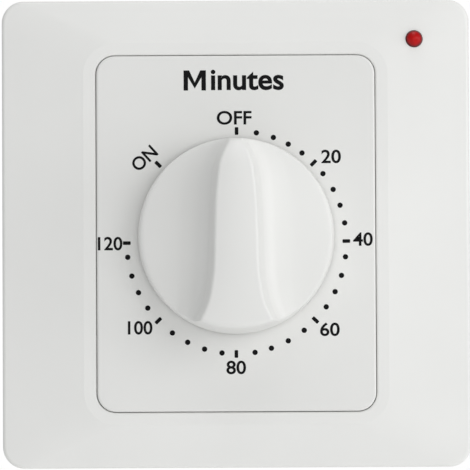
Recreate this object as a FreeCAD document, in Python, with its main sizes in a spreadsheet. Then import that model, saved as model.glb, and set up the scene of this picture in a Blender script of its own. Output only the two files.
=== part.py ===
import FreeCAD, Part
import math
import os
import re
import Sketcher
from FreeCAD import Placement, Rotation, Vector

# Wall countdown timer: a clockwork that a dial knob winds, behind a clip-on square cover.
# X runs to the right, Y into the wall and Z up; the wall's face is the plane y = 0.
# "Front" values are distances from the wall towards the room, "depth" values go into the wall.

os.makedirs("parts", exist_ok=True)
doc = FreeCAD.newDocument("wall_timer")
sizes = doc.addObject("Spreadsheet::Sheet", "sizes")
aliases = []


def group(title, **entries):
    """Writes one group of driving sizes to the sheet: name, number or sheet formula, group."""
    for alias, number in entries.items():
        aliases.append(alias)
        line = str(len(aliases))
        sizes.set("A" + line, alias)
        sizes.set("B" + line, str(number))
        sizes.set("C" + line, title)
        sizes.setAlias("B" + line, alias)


group(
    "clearances",
    slide_gap=0.15,
    press_gap=0.01,
    shaft_gap=0.04,
    pivot_gap=0.03,
    overcut=1.0,
    hair=0.01,
)
# The main sizes: the plate across and up the wall, and the knob's foot.
PLATE_WIDTH = 86.0
PLATE_HEIGHT = 86.0
KNOB_RADIUS = 18.0
group(
    "cover frame",
    plate_width=PLATE_WIDTH,
    plate_height=PLATE_HEIGHT,
    plate_corner=4.0,
    edge_height=7.0,
    crown_height=9.0,
    crown_border=2.4,
    frame_round=0.7,
    frame_skin=1.7,
    window_round=0.4,
    window_gap=0.12,
    hook_width=8.0,
    hook_foot=0.2,
    hook_thick=0.7,
    hook_reach=0.8,
    pry_width=9.0,
    pry_height=1.4,
)
group(
    "mounting frame",
    base_inset=1.8,
    base_width="=plate_width-2*(frame_skin+base_inset)",
    base_height="=plate_height-2*(frame_skin+base_inset)",
    base_corner=3.0,
    base_thick=2.2,
    base_rim_width=1.4,
    base_rim_height=3.8,
    wall_screws_apart=60.3,
    slot_length=9.0,
    slot_width=4.4,
    bush_hole=10.0,
    land_width=3.2,
    relief_width=1.0,
    relief_depth=0.5,
    relief_corner=2.0,
    boss_radius=3.0,
)
group(
    "dial panel",
    panel_width=51.1,
    panel_height=65.3,
    panel_corner=3.4,
    panel_front=9.3,
    panel_skin=1.8,
    panel_wall=1.5,
    panel_round=0.4,
    dial_hole=13.0,
    collar_radius=8.0,
    collar_length=3.0,
    tongue_offset=15.0,
    tongue_width=6.0,
    tongue_thick=1.3,
    tongue_drop=2.0,
    bead_reach=0.8,
)
group(
    "knob",
    axis_drop=0.5,
    knob_gap=0.5,
    rim_radius=KNOB_RADIUS,
    rim_draft=0.4,
    shoulder_radius="=rim_radius-rim_draft",
    shoulder_height=5.9,
    disc_rise=1.6,
    rim_width=1.2,
    rim_round=0.6,
    knob_skin=1.8,
    hub_radius=5.3,
    hub_reach=3.2,
    bore_top=11.0,
    clip_width=1.6,
    clip_wire=0.7,
    clip_inset=1.0,
    grip_lean=1.3,
    grip_root=1.0,
    grip_scoop=4.0,
    scoop_share=0.29,
    soft_share=0.3,
    grip_round=0.7,
    grip_hollow_half=2.2,
    grip_hollow_reach=12.0,
    grip_end_lean=0.35,
)
# The grip bar's outline: how far along the pointer's line, half its width at the crest, and how high.
GRIP_SECTIONS = ("tail", "heel", "flare", "waist", "middle", "chest", "nose", "tip")
GRIP_ALONG = (-18.2, -15.4, -12.7, -8.65, 0.0, 8.0, 13.0, 17.4)
GRIP_HALF = (8.2, 6.6, 5.35, 4.5, 4.05, 3.7, 3.0, 1.2)
GRIP_HIGH = (14.6, 15.5, 15.8, 15.9, 16.0, 15.9, 15.4, 13.0)
for name, along, half, high in zip(GRIP_SECTIONS, GRIP_ALONG, GRIP_HALF, GRIP_HIGH):
    group(
        "grip bar",
        **{
            "grip_%s_along" % name: along,
            "grip_%s_half" % name: half,
            "grip_%s_high" % name: high,
        }
    )
group(
    "rear housing",
    housing_width=55.0,
    housing_height=56.6,
    housing_corner=3.5,
    housing_wall=1.8,
    housing_floor=2.0,
    housing_round=1.2,
    ear_width=10.0,
    ear_reach=5.4,
    ear_thick=2.0,
    ear_up=18.0,
    housing_screw_radius=1.45,
    housing_screw_head=2.7,
    head_thick=1.6,
    screw_tower=4.2,
    tower_cap=0.8,
    screw_end_gap=0.2,
    wire_hole_in=7.0,
)
group(
    "movement plates",
    plates_width=48.6,
    plates_height=48.6,
    plates_corner=3.0,
    plate_gauge=1.0,
    front_plate_depth=3.0,
    plates_apart=13.0,
    pillar_offset_x=20.6,
    pillar_offset_z=20.6,
    pillar_radius=2.0,
    plate_screw_radius=1.25,
    plate_screw_head=2.3,
    pillar_thread=4.5,
    pillar_collar=2.0,
    pillar_neck=0.4,
    plate_screw_head_thick=1.3,
    movement_screw_x=20.6,
    movement_screw_z=10.0,
)
group(
    "main shaft",
    shaft_radius=3.0,
    shaft_flat=2.1,
    journal_radius=2.5,
    spring_arbor_radius=4.0,
    flange_radius=5.6,
    spring_depth=5.0,
    spring_width=4.2,
    spring_strip=0.35,
    spring_turn=1.1,
    spring_half_turns=12,
    spring_post_radius=1.0,
    great_wheel_depth=11.0,
    great_wheel_thick=1.0,
    clutch_radius=6.4,
    clutch_height=0.8,
    clutch_leaf=0.3,
    clip_thick=0.6,
    clip_radius=4.0,
    clip_groove=0.5,
    clip_mouth=4.0,
    shaft_end=0.6,
)
group(
    "train",
    great_teeth=72,
    second_pinion_leaves=9,
    first_module=0.36,
    second_teeth=72,
    third_pinion_leaves=8,
    second_module=0.28,
    third_teeth=80,
    escape_pinion_leaves=8,
    third_module=0.2,
    second_arbor_angle=225.0,
    third_arbor_reach=15.5,
    escape_arbor_reach=15.8,
    anchor_arbor_reach=16.5,
    wheel_thick=0.8,
    wheel_hub=1.5,
    wheel_windows=5,
    leaf_overhang=0.5,
    second_wheel_depth=13.6,
    third_wheel_depth=15.3,
    escape_wheel_depth=12.8,
    pivot_radius=0.35,
    end_shake=0.15,
    pivot_shy=0.1,
    second_arbor_radius=0.9,
    third_arbor_radius=0.6,
    escape_arbor_radius=0.44,
)
group(
    "escapement",
    escape_teeth=24,
    escape_radius=5.5,
    escape_root=4.5,
    escape_wheel_thick=0.6,
    escape_window_reach=2.6,
    escape_window=1.05,
    pallet_span=4.5,
    pallet_clear=0.06,
    pallet_nose=0.24,
    pallet_root=0.8,
    pallet_length=0.9,
    anchor_hub=1.0,
    anchor_arm=0.9,
    anchor_thick=0.9,
    bar_length=16.0,
    bar_width=1.8,
    bar_thick=0.6,
    bar_depth=9.9,
    bar_angle=128.0,
    anchor_arbor_radius=0.6,
)
group(
    "switch",
    cam_radius=12.0,
    cam_gap=1.4,
    cam_thick=3.0,
    notch_depth=1.5,
    notch_half_angle=16.0,
    notch_floor_half_angle=6.0,
    leaf_thick=0.3,
    leaf_clear=0.2,
    leaf_end=7.5,
    leaf_bend_at=-20.0,
    rivet_at=5.6,
    rivet_radius=1.2,
    rivet_high=0.5,
    strip_level=16.9,
    strip_thick=0.6,
    strip_finger=2.4,
    strip_half_width=3.3,
)
group(
    "terminal block",
    bay_pitch=10.4,
    bay_width=8.4,
    bay_height=7.6,
    block_floor=3.4,
    block_depth=12.0,
    block_wall=1.6,
    block_ear=5.0,
    block_screw_radius=1.25,
    terminal_screw_radius=1.5,
    terminal_screw_head=2.7,
    terminal_head_thick=1.8,
    terminal_thread=3.0,
    washer_size=5.4,
    washer_thick=0.8,
)
group(
    "indicator",
    led_inset=10.1,
    led_drop=7.35,
    led_across="=plate_width/2-led_inset",
    led_up="=plate_height/2-led_drop",
    led_radius=1.5,
    led_flange_radius=1.9,
    led_flange_thick=0.9,
    led_tip=9.55,
    led_hole_gap=0.1,
    board_front=3.7,
    board_aside=2.0,
    board_above=1.8,
    board_width=9.0,
    board_height=9.6,
    board_thick=1.0,
    board_post_radius=1.4,
    resistor_radius=0.9,
    resistor_length=5.6,
    diode_radius=1.1,
    diode_length=4.6,
    lead_radius=0.3,
    lead_span=8.2,
    resistor_below=3.5,
    diode_below=6.2,
    wire_hole_radius=1.6,
)
# The depths that follow from the stack: the plates, the cam and the shaft's end fill the housing,
# the switch lies level with the cam, and the terminals stand behind the housing's floor.
group(
    "stack",
    leaf_inset=0.4,
    floor_gap=1.0,
    neutral_shy=3.1,
    screw_reach=4.6,
    strip_reach=11.0,
    cam_front="=front_plate_depth+2*plate_gauge+plates_apart+cam_gap",
    strip_front="=cam_front+leaf_inset",
    neutral_front="=strip_front+neutral_shy",
    housing_depth="=cam_front+cam_thick+shaft_end+floor_gap+housing_floor",
    terminal_screw_depth="=housing_depth+screw_reach",
    strip_end="=housing_depth+strip_reach",
)
doc.recompute()


def size(text):
    """The value of a sheet expression, in millimetres, degrees or counts."""
    return float(sizes.evalExpression(text))


def tied(text):
    """The same expression as other objects of the document read it."""
    found = lambda word: "sizes." + word.group() if word.group() in aliases else word.group()
    return re.sub(r"[a-z]\w*", found, text)


def new_body(label, across="0", up="0", front="0"):
    """A sub-part as a body, placed by sheet expressions."""
    made = doc.addObject("PartDesign::Body", label)
    made.Label = label
    for way, place in (("x", across), ("y", "-(%s)" % front), ("z", up)):
        made.setExpression("Placement.Base." + way, tied(place))
    return made


def new_sketch(made, level="0", plane="XZ_Plane"):
    """A sketch on one of the body's own planes, moved along that plane's normal by level."""
    drawn = made.newObject("Sketcher::SketchObject", made.Label + "_sketch")
    support = next(f for f in made.Origin.OriginFeatures if f.Role == plane)
    drawn.AttachmentSupport = (support, [""])
    drawn.MapMode = "FlatFace"
    drawn.setExpression("AttachmentOffset.Base.z", tied(level))
    return drawn


def hold(drawn, joins, datums):
    """Adds plain constraints, and then datums whose values are tied to the sheet."""
    drawn.addConstraint([Sketcher.Constraint(*join) for join in joins])
    first = drawn.ConstraintCount
    drawn.addConstraint([Sketcher.Constraint(*where, size(to)) for where, to in datums])
    for n, (where, to) in enumerate(datums):
        drawn.setExpression("Constraints[%d]" % (first + n), tied(to))


def at_point(geometry, end, across, up):
    """The two datums that tie a point to the sketch's origin."""
    return [
        (("DistanceX", -1, 1, geometry, end), across),
        (("DistanceY", -1, 1, geometry, end), up),
    ]


def outline(drawn, points):
    """Draws a closed outline of straight sides through points given as expressions."""
    corners = [Vector(size(across), size(up), 0) for across, up in points]
    first = drawn.GeometryCount
    count = len(corners)
    for n in range(count):
        side = Part.LineSegment(corners[n], corners[(n + 1) % count])
        drawn.addGeometry(side, False)
    joins, datums = [], []
    for n in range(count):
        joins.append(("Coincident", first + n, 2, first + (n + 1) % count, 1))
        datums += at_point(first + n, 1, *points[n])
    hold(drawn, joins, datums)


def rectangle(drawn, across, up, width, height):
    """Draws a sharp rectangle about its centre."""
    left, right = "%s-(%s)/2" % (across, width), "%s+(%s)/2" % (across, width)
    low, high = "%s-(%s)/2" % (up, height), "%s+(%s)/2" % (up, height)
    outline(drawn, [(left, low), (right, low), (right, high), (left, high)])


def rounded(drawn, width, height, corner, across="0", up="0"):
    """Draws a rectangle with round corners about its centre."""
    signs = ((1, 1), (-1, 1), (-1, -1), (1, -1))
    reach = size(corner)
    centres = []
    for right, top in signs:
        x = "%s+%d*((%s)/2-(%s))" % (across, right, width, corner)
        z = "%s+%d*((%s)/2-(%s))" % (up, top, height, corner)
        centres.append((x, z))
    first = drawn.GeometryCount
    middles = [Vector(size(x), size(z), 0) for x, z in centres]
    for n in range(4):
        circle = Part.Circle(middles[n], Vector(0, 0, 1), reach)
        start = math.radians(90 * n)
        drawn.addGeometry(Part.ArcOfCircle(circle, start, start + math.pi / 2), False)
    for n in range(4):
        turn = math.radians(90 * (n + 1))
        out = Vector(math.cos(turn), math.sin(turn), 0) * reach
        side = Part.LineSegment(middles[n] + out, middles[(n + 1) % 4] + out)
        drawn.addGeometry(side, False)
    joins, datums = [], []
    for n in range(4):
        arc, side, following = first + n, first + 4 + n, first + (n + 1) % 4
        joins += [("Tangent", arc, 2, side, 1), ("Tangent", side, 2, following, 1)]
        datums += at_point(arc, 3, *centres[n])
        datums.append((("Radius", arc), corner))
    hold(drawn, joins, datums)


def circle(drawn, across, up, radius):
    """Draws a circle about a point."""
    middle = Vector(size(across), size(up), 0)
    number = drawn.addGeometry(Part.Circle(middle, Vector(0, 0, 1), size(radius)), False)
    hold(drawn, [], at_point(number, 3, across, up) + [(("Radius", number), radius)])


def slot(drawn, across, up, length, width):
    """Draws a level slot with round ends about its centre."""
    rounded(drawn, length, width, "(%s)/2-hair" % width, across, up)


def dee(drawn, radius, flat):
    """Draws a circle about the origin with its upper side cut flat."""
    reach, cut = size(radius), size(flat)
    half = math.acos(cut / reach)
    ring = Part.Circle(Vector(), Vector(0, 0, 1), reach)
    bow = Part.ArcOfCircle(ring, math.pi / 2 + half, math.pi * 5 / 2 - half)
    arc = drawn.addGeometry(bow, False)
    end = Vector(reach * math.sin(half), cut, 0)
    start = Vector(-reach * math.sin(half), cut, 0)
    chord = drawn.addGeometry(Part.LineSegment(end, start), False)
    joins = [("Coincident", arc, 2, chord, 1), ("Coincident", chord, 2, arc, 1)]
    joins += [("Coincident", arc, 3, -1, 1), ("Horizontal", chord)]
    hold(drawn, joins, [(("Radius", arc), radius), (("DistanceY", -1, 1, chord, 1), flat)])


def raise_pad(made, drawn, length, back=False):
    """Pads a sketch towards the room, or back into the wall."""
    feature = made.newObject("PartDesign::Pad", made.Label + "_pad")
    feature.Profile = drawn
    feature.setExpression("Length", tied(length))
    feature.Reversed = back
    drawn.Visibility = False
    return feature


def cut_pocket(made, drawn, length, front=False):
    """Cuts a sketch into the wall, or towards the room."""
    feature = made.newObject("PartDesign::Pocket", made.Label + "_pocket")
    feature.Profile = drawn
    feature.setExpression("Length", tied(length))
    feature.Reversed = front
    return feature


def spin(made, points, cut=False):
    """Revolves a half outline of (radius, depth) points about the body's Y axis."""
    drawn = new_sketch(made, plane="XY_Plane")
    outline(drawn, points)
    kind = "PartDesign::Groove" if cut else "PartDesign::Revolution"
    feature = made.newObject(kind, made.Label + "_turned")
    feature.Profile = drawn
    feature.ReferenceAxis = (drawn, ["V_Axis"])
    feature.Angle = 360.0
    return feature


def loft(made, drawings, cut=False, ruled=True):
    """Lofts through sketches, adding or cutting."""
    kind = "PartDesign::SubtractiveLoft" if cut else "PartDesign::AdditiveLoft"
    feature = made.newObject(kind, made.Label + "_loft")
    feature.Profile = drawings[0]
    feature.Sections = drawings[1:]
    feature.Ruled = ruled
    return feature


def round_edges(made, radius, chosen):
    """Fillets each edge of the body so far that the test picks."""
    doc.recompute()
    base = made.Tip
    names = ["Edge%d" % (n + 1) for n, edge in enumerate(base.Shape.Edges) if chosen(edge)]
    feature = made.newObject("PartDesign::Fillet", made.Label + "_round")
    feature.Base = (base, names)
    feature.setExpression("Radius", tied(radius))
    made.Tip = feature
    return feature


def flat_at(edge, depth, slack=size("2*hair")):
    """Whether an edge lies in the plane of one depth."""
    box = edge.BoundBox
    return abs(box.YMin - depth) < slack and abs(box.YMax - depth) < slack


def feature_part(label, shape, across=0.0, up=0.0):
    """A sub-part as a shape of its own, placed after it is set."""
    made = doc.addObject("Part::Feature", label)
    made.Label = label
    made.Shape = shape
    made.Placement = Placement(Vector(across, 0, up), Rotation())
    return made


def slab(points, depth, thick):
    """A flat plate with straight sides: (across, up) points at a depth, thick into the wall."""
    corners = [Vector(x, depth, z) for x, z in points]
    return Part.Face(Part.makePolygon(corners + corners[:1])).extrude(Vector(0, thick, 0))


def rod(radius, depth, length, across=0.0, up=0.0):
    """A round rod along Y."""
    return Part.makeCylinder(radius, length, Vector(across, depth, up), Vector(0, 1, 0))


# The cover frame: a thin moulding that hides the wall screws. Its front slopes gently from the
# window to the edges, and four beads inside its walls catch under the mounting frame.
cover = new_body("cover_frame")
outer = new_sketch(cover)
rounded(outer, "plate_width", "plate_height", "plate_corner")
raise_pad(cover, outer, "edge_height")
edge_ring = new_sketch(cover, "edge_height")
rounded(edge_ring, "plate_width", "plate_height", "plate_corner")
crown_ring = new_sketch(cover, "crown_height")
rounded(
    crown_ring,
    "panel_width+2*crown_border",
    "panel_height+2*crown_border",
    "panel_corner+crown_border",
)
loft(cover, [edge_ring, crown_ring])
edge_depth = -size("edge_height")
round_edges(cover, "frame_round", lambda edge: flat_at(edge, edge_depth))
well = new_sketch(cover)
rounded(
    well,
    "plate_width-2*frame_skin",
    "plate_height-2*frame_skin",
    "plate_corner-frame_skin",
)
cut_pocket(cover, well, "edge_height-frame_skin", front=True)
well_ring = new_sketch(cover, "edge_height-frame_skin")
rounded(
    well_ring,
    "plate_width-2*frame_skin",
    "plate_height-2*frame_skin",
    "plate_corner-frame_skin",
)
ceiling_ring = new_sketch(cover, "crown_height-frame_skin")
rounded(
    ceiling_ring,
    "panel_width+2*crown_border",
    "panel_height+2*crown_border",
    "panel_corner+crown_border",
)
loft(cover, [well_ring, ceiling_ring], cut=True)
window = new_sketch(cover)
rounded(
    window,
    "panel_width+2*window_gap",
    "panel_height+2*window_gap",
    "panel_corner+window_gap",
)
circle(window, "led_across", "led_up", "led_radius+led_hole_gap")
cut_pocket(cover, window, "crown_height+overcut", front=True)
bead = new_sketch(cover, "hook_foot")
for side in (1, -1):
    inner = "%d*(base_width/2-hook_reach)" % side
    outer_end = "%d*(plate_width/2-frame_skin/2)" % side
    wall = [(inner, "-hook_width/2"), (outer_end, "-hook_width/2")]
    outline(bead, wall + [(outer_end, "hook_width/2"), (inner, "hook_width/2")])
    inner = "%d*(base_height/2-hook_reach)" % side
    outer_end = "%d*(plate_height/2-frame_skin/2)" % side
    wall = [("-hook_width/2", inner), ("-hook_width/2", outer_end)]
    outline(bead, wall + [("hook_width/2", outer_end), ("hook_width/2", inner)])
raise_pad(cover, bead, "hook_thick")
pry = new_sketch(cover)
rectangle(pry, "plate_width/4", "-plate_height/2", "pry_width", "3*frame_skin")
cut_pocket(cover, pry, "pry_height", front=True)
crown_depth = -size("crown_height")
window_half = size("panel_width/2+window_gap+2*hair")
window_high = size("panel_height/2+window_gap+2*hair")
round_edges(
    cover,
    "window_round",
    lambda edge: flat_at(edge, crown_depth)
    and edge.BoundBox.XMax < window_half
    and edge.BoundBox.XMin > -window_half
    and edge.BoundBox.ZMax < window_high
    and edge.BoundBox.ZMin > -window_high,
)

# The mounting frame: the moulded plate that is screwed to the wall box and carries everything. A
# shallow groove behind it parts the land that lies on the wall from the middle.
base = new_body("mounting_frame")
base_plate = new_sketch(base)
rounded(base_plate, "base_width", "base_height", "base_corner")
raise_pad(base, base_plate, "base_thick")
rim = new_sketch(base, "base_thick")
rounded(rim, "base_width", "base_height", "base_corner")
rounded(
    rim,
    "base_width-2*base_rim_width",
    "base_height-2*base_rim_width",
    "base_corner-base_rim_width",
)
raise_pad(base, rim, "base_rim_height-base_thick")
towers = new_sketch(base, "base_thick")
for up in (1, -1):
    circle(towers, "%d*(housing_width/2+ear_reach/2)" % up, "%d*ear_up" % up, "boss_radius")
raise_pad(base, towers, "screw_tower-base_thick")
spacers = new_sketch(base)
for right in (1, -1):
    for up in (1, -1):
        across = "%d*movement_screw_x" % right
        circle(spacers, across, "%d*movement_screw_z-axis_drop" % up, "boss_radius")
raise_pad(base, spacers, "front_plate_depth", back=True)
posts = new_sketch(base, "base_thick")
board_left, board_low = "led_across-board_aside-board_width/2", "led_up+board_above-board_height"
circle(posts, board_left + "+board_post_radius", board_low + "+board_post_radius", "board_post_radius")
circle(posts, "led_across", "led_up", "led_radius")
raise_pad(base, posts, "board_front-board_thick-base_thick")
holes = new_sketch(base)
circle(holes, "0", "-axis_drop", "bush_hole/2")
for side in (1, -1):
    slot(holes, "%d*wall_screws_apart/2" % side, "0", "slot_length", "slot_width")
    up = "%d*(panel_height/2-slide_gap-tongue_thick/2)" % side
    for right in (1, -1):
        across = "%d*tongue_offset" % right
        rectangle(holes, across, up, "tongue_width+2*slide_gap", "tongue_thick+2*slide_gap")
cut_pocket(base, holes, "base_thick", front=True)
bores = new_sketch(base, "-front_plate_depth")
for right in (1, -1):
    for up in (1, -1):
        across = "%d*movement_screw_x" % right
        circle(bores, across, "%d*movement_screw_z-axis_drop" % up, "plate_screw_radius+slide_gap")
cut_pocket(base, bores, "base_thick+front_plate_depth", front=True)
threads = new_sketch(base)
for up in (1, -1):
    across = "%d*(housing_width/2+ear_reach/2)" % up
    circle(threads, across, "%d*ear_up" % up, "housing_screw_radius+press_gap")
cut_pocket(base, threads, "screw_tower-tower_cap", front=True)
notches = new_sketch(base)
for side in (1, -1):
    deep = "2*(hook_reach+slide_gap)"
    wide = "hook_width+2*slide_gap"
    rectangle(notches, "%d*base_width/2" % side, "0", deep, wide)
    rectangle(notches, "0", "%d*base_height/2" % side, wide, deep)
cut_pocket(base, notches, "hook_foot+hook_thick+slide_gap", front=True)
relief = new_sketch(base)
rounded(relief, "base_width-2*land_width", "base_height-2*land_width", "relief_corner")
rounded(
    relief,
    "base_width-2*(land_width+relief_width)",
    "base_height-2*(land_width+relief_width)",
    "relief_corner-relief_width",
)
cut_pocket(base, relief, "relief_depth", front=True)
wire_hole = new_sketch(base)
circle(wire_hole, "housing_width/2-wire_hole_in", "housing_height/2-wire_hole_in", "wire_hole_radius")
cut_pocket(base, wire_hole, "base_thick", front=True)

# The dial panel: a shallow tray with the printed dial. Four tongues snap behind the mounting frame.
panel = new_body("dial_panel")
tray = new_sketch(panel, "base_thick")
rounded(tray, "panel_width", "panel_height", "panel_corner")
raise_pad(panel, tray, "panel_front-base_thick")
panel_depth = -size("panel_front")
round_edges(panel, "panel_round", lambda edge: flat_at(edge, panel_depth))
hollow = new_sketch(panel, "base_thick")
rounded(
    hollow,
    "panel_width-2*panel_wall",
    "panel_height-2*panel_wall",
    "panel_corner-panel_wall",
)
cut_pocket(panel, hollow, "panel_front-base_thick-panel_skin", front=True)
collar = new_sketch(panel, "panel_front-panel_skin")
circle(collar, "0", "-axis_drop", "collar_radius")
raise_pad(panel, collar, "collar_length", back=True)
dial_hole = new_sketch(panel)
circle(dial_hole, "0", "-axis_drop", "dial_hole/2")
cut_pocket(panel, dial_hole, "panel_front+overcut", front=True)
tongues = new_sketch(panel, "-tongue_drop")
for up in (1, -1):
    for right in (1, -1):
        rectangle(
            tongues,
            "%d*tongue_offset" % right,
            "%d*(panel_height/2-slide_gap-tongue_thick/2)" % up,
            "tongue_width",
            "tongue_thick",
        )
raise_pad(panel, tongues, "base_thick+tongue_drop+overcut")
beads = new_sketch(panel, "-tongue_drop")
for up in (1, -1):
    for right in (1, -1):
        rectangle(
            beads,
            "%d*tongue_offset" % right,
            "%d*(panel_height/2-slide_gap+bead_reach/2)" % up,
            "tongue_width",
            "bead_reach",
        )
raise_pad(panel, beads, "tongue_drop-slide_gap")

# The knob: a low domed disc with a tall grip bar across it, hollow round a split hub. Each
# side of the grip sweeps out of the disc in a scoop, rises with a slight lean and rounds over.
knob = new_body("knob", up="-axis_drop", front="panel_front")
grip = []
for name in GRIP_SECTIONS:
    section = new_sketch(knob, "grip_%s_along" % name, plane="XY_Plane")
    half, high = "grip_%s_half" % name, "grip_%s_high" % name
    foot = half + "+grip_lean"
    side = [
        (foot + "+grip_scoop", "-(shoulder_height-grip_root)"),
        (foot + "+scoop_share*grip_scoop", "-(shoulder_height+disc_rise/2+scoop_share*grip_scoop)"),
        (foot, "-(shoulder_height+disc_rise/2+grip_scoop)"),
        (half, "-(%s-grip_round)" % high),
    ]
    side.append(("%s-soft_share*grip_round" % half, "-(%s-soft_share*grip_round)" % high))
    side.append((half + "-grip_round", "-" + high))
    mirrored = [("-(%s)" % across, up) for across, up in reversed(side)]
    outline(section, side + mirrored)
    grip.append(section)
loft(knob, grip, ruled=False)
spin(
    knob,
    [
        ("shoulder_radius-rim_round/2", "0"),
        ("rim_radius+grip_tail_half", "0"),
        ("rim_radius+grip_tail_half", "-(grip_middle_high+overcut)"),
        ("shoulder_radius-rim_round/2-grip_end_lean", "-(grip_middle_high+overcut)"),
        ("shoulder_radius-rim_round/2", "-shoulder_height"),
    ],
    cut=True,
)
spin(
    knob,
    [
        ("0", "-knob_gap"),
        ("rim_radius", "-knob_gap"),
        ("shoulder_radius", "-(shoulder_height-rim_round)"),
        ("shoulder_radius-soft_share*rim_round", "-(shoulder_height-soft_share*rim_round)"),
        ("shoulder_radius-rim_round", "-shoulder_height"),
        ("shoulder_radius-rim_round-rim_width", "-shoulder_height"),
        ("0", "-(shoulder_height+disc_rise)"),
    ],
)
spin(
    knob,
    [
        ("hub_radius", "0"),
        ("rim_radius-knob_skin", "0"),
        ("shoulder_radius-knob_skin", "-(shoulder_height-knob_skin)"),
        ("hub_radius", "-(shoulder_height-knob_skin)"),
    ],
    cut=True,
)
cores = new_sketch(knob, "knob_gap")
for side in (1, -1):
    rectangle(
        cores,
        "0",
        "%d*(hub_radius+grip_hollow_reach)/2" % side,
        "2*grip_hollow_half",
        "grip_hollow_reach-hub_radius",
    )
cut_pocket(knob, cores, "grip_nose_high-knob_skin-knob_gap", front=True)
hub = new_sketch(knob, "-hub_reach")
circle(hub, "0", "0", "hub_radius")
raise_pad(knob, hub, "hub_reach+shoulder_height-knob_skin/2")
hub_bore = new_sketch(knob, "-hub_reach")
dee(hub_bore, "shaft_radius+shaft_gap", "shaft_flat+shaft_gap")
cut_pocket(knob, hub_bore, "hub_reach+bore_top", front=True)
spin(
    knob,
    [
        ("hub_radius-clip_wire", "hub_reach-clip_inset"),
        ("hub_radius+overcut", "hub_reach-clip_inset"),
        ("hub_radius+overcut", "hub_reach-clip_inset-clip_width"),
        ("hub_radius-clip_wire", "hub_reach-clip_inset-clip_width"),
    ],
    cut=True,
)

# The spring clip that squeezes the split hub onto the shaft's flat.
hub_clip = new_body("knob_clip", up="-axis_drop", front="panel_front")
spin(
    hub_clip,
    [
        ("hub_radius-clip_wire+press_gap", "hub_reach-clip_inset-press_gap"),
        ("hub_radius", "hub_reach-clip_inset-press_gap"),
        ("hub_radius", "hub_reach-clip_inset-clip_width+press_gap"),
        ("hub_radius-clip_wire+press_gap", "hub_reach-clip_inset-clip_width+press_gap"),
    ],
)
clip_gap = new_sketch(hub_clip, "-hub_reach")
rectangle(clip_gap, "0", "hub_radius", "hub_radius", "hub_radius")
cut_pocket(hub_clip, clip_gap, "2*hub_reach", front=True)

# The rear housing: a deep moulded box that goes into the wall box, with an ear at each side.
housing = new_body("rear_housing")
shell = new_sketch(housing, "-housing_depth")
rounded(shell, "housing_width", "housing_height", "housing_corner")
raise_pad(housing, shell, "housing_depth")
rear_depth = size("housing_depth")
round_edges(housing, "housing_round", lambda edge: flat_at(edge, rear_depth))
ears = new_sketch(housing, "-ear_thick")
for up in (1, -1):
    across = "%d*(housing_width/2+ear_reach/2-housing_wall/2)" % up
    rectangle(ears, across, "%d*ear_up" % up, "ear_reach+housing_wall", "ear_width")
raise_pad(housing, ears, "ear_thick")
cavity = new_sketch(housing)
rounded(
    cavity,
    "housing_width-2*housing_wall",
    "housing_height-2*housing_wall",
    "housing_corner-housing_wall",
)
cut_pocket(housing, cavity, "housing_depth-housing_floor")
ear_holes = new_sketch(housing)
for up in (1, -1):
    across = "%d*(housing_width/2+ear_reach/2)" % up
    circle(ear_holes, across, "%d*ear_up" % up, "housing_screw_radius+slide_gap")
cut_pocket(housing, ear_holes, "ear_thick")
strip_slots = new_sketch(housing)
for n in (-1, 0, 1):
    rectangle(
        strip_slots,
        "%d*bay_pitch" % n,
        "strip_level+strip_thick/2",
        "2*strip_half_width+2*slide_gap",
        "strip_thick+2*slide_gap",
    )
for side in (1, -1):
    across = "%d*(bay_pitch*3/2+block_ear/2)" % side
    circle(strip_slots, across, "strip_level-block_floor/2", "block_screw_radius+press_gap")
cut_pocket(housing, strip_slots, "housing_depth+overcut")

# The terminal block: three open bays at the back, a floor under each brass strip, walls between.
block = new_body("terminal_block")
block_body = new_sketch(block, "-(housing_depth+block_depth)")
block_width = "3*bay_pitch-bay_pitch+bay_width+2*block_wall"
rectangle(
    block_body,
    "0",
    "strip_level-block_floor+(block_floor+bay_height)/2",
    block_width,
    "block_floor+bay_height",
)
raise_pad(block, block_body, "block_depth")
block_ears = new_sketch(block, "-(housing_depth+block_floor)")
for side in (1, -1):
    rectangle(
        block_ears,
        "%d*(bay_pitch*3/2+block_ear/2-block_wall/2)" % side,
        "strip_level-block_floor/2",
        "block_ear+block_wall",
        "block_floor",
    )
raise_pad(block, block_ears, "block_floor")
bays = new_sketch(block, "-(housing_depth+block_wall)")
for n in (-1, 0, 1):
    up = "strip_level+(bay_height+overcut)/2"
    rectangle(bays, "%d*bay_pitch" % n, up, "bay_width", "bay_height+overcut")
cut_pocket(block, bays, "block_depth")
gates = new_sketch(block, "-housing_depth")
for n in (-1, 0, 1):
    rectangle(
        gates,
        "%d*bay_pitch" % n,
        "strip_level+strip_thick/2",
        "2*strip_half_width+2*slide_gap",
        "strip_thick+2*slide_gap",
    )
cut_pocket(block, gates, "block_wall+overcut")
ear_bores = new_sketch(block, "-housing_depth")
for side in (1, -1):
    across = "%d*(bay_pitch*3/2+block_ear/2)" % side
    circle(ear_bores, across, "strip_level-block_floor/2", "block_screw_radius+slide_gap")
cut_pocket(block, ear_bores, "block_floor")
screw_wells = new_sketch(block, "strip_level-block_floor", plane="XY_Plane")
for n in (-1, 0, 1):
    circle(screw_wells, "%d*bay_pitch" % n, "terminal_screw_depth", "terminal_screw_radius+slide_gap")
cut_pocket(block, screw_wells, "block_floor+overcut", front=True)


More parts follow.
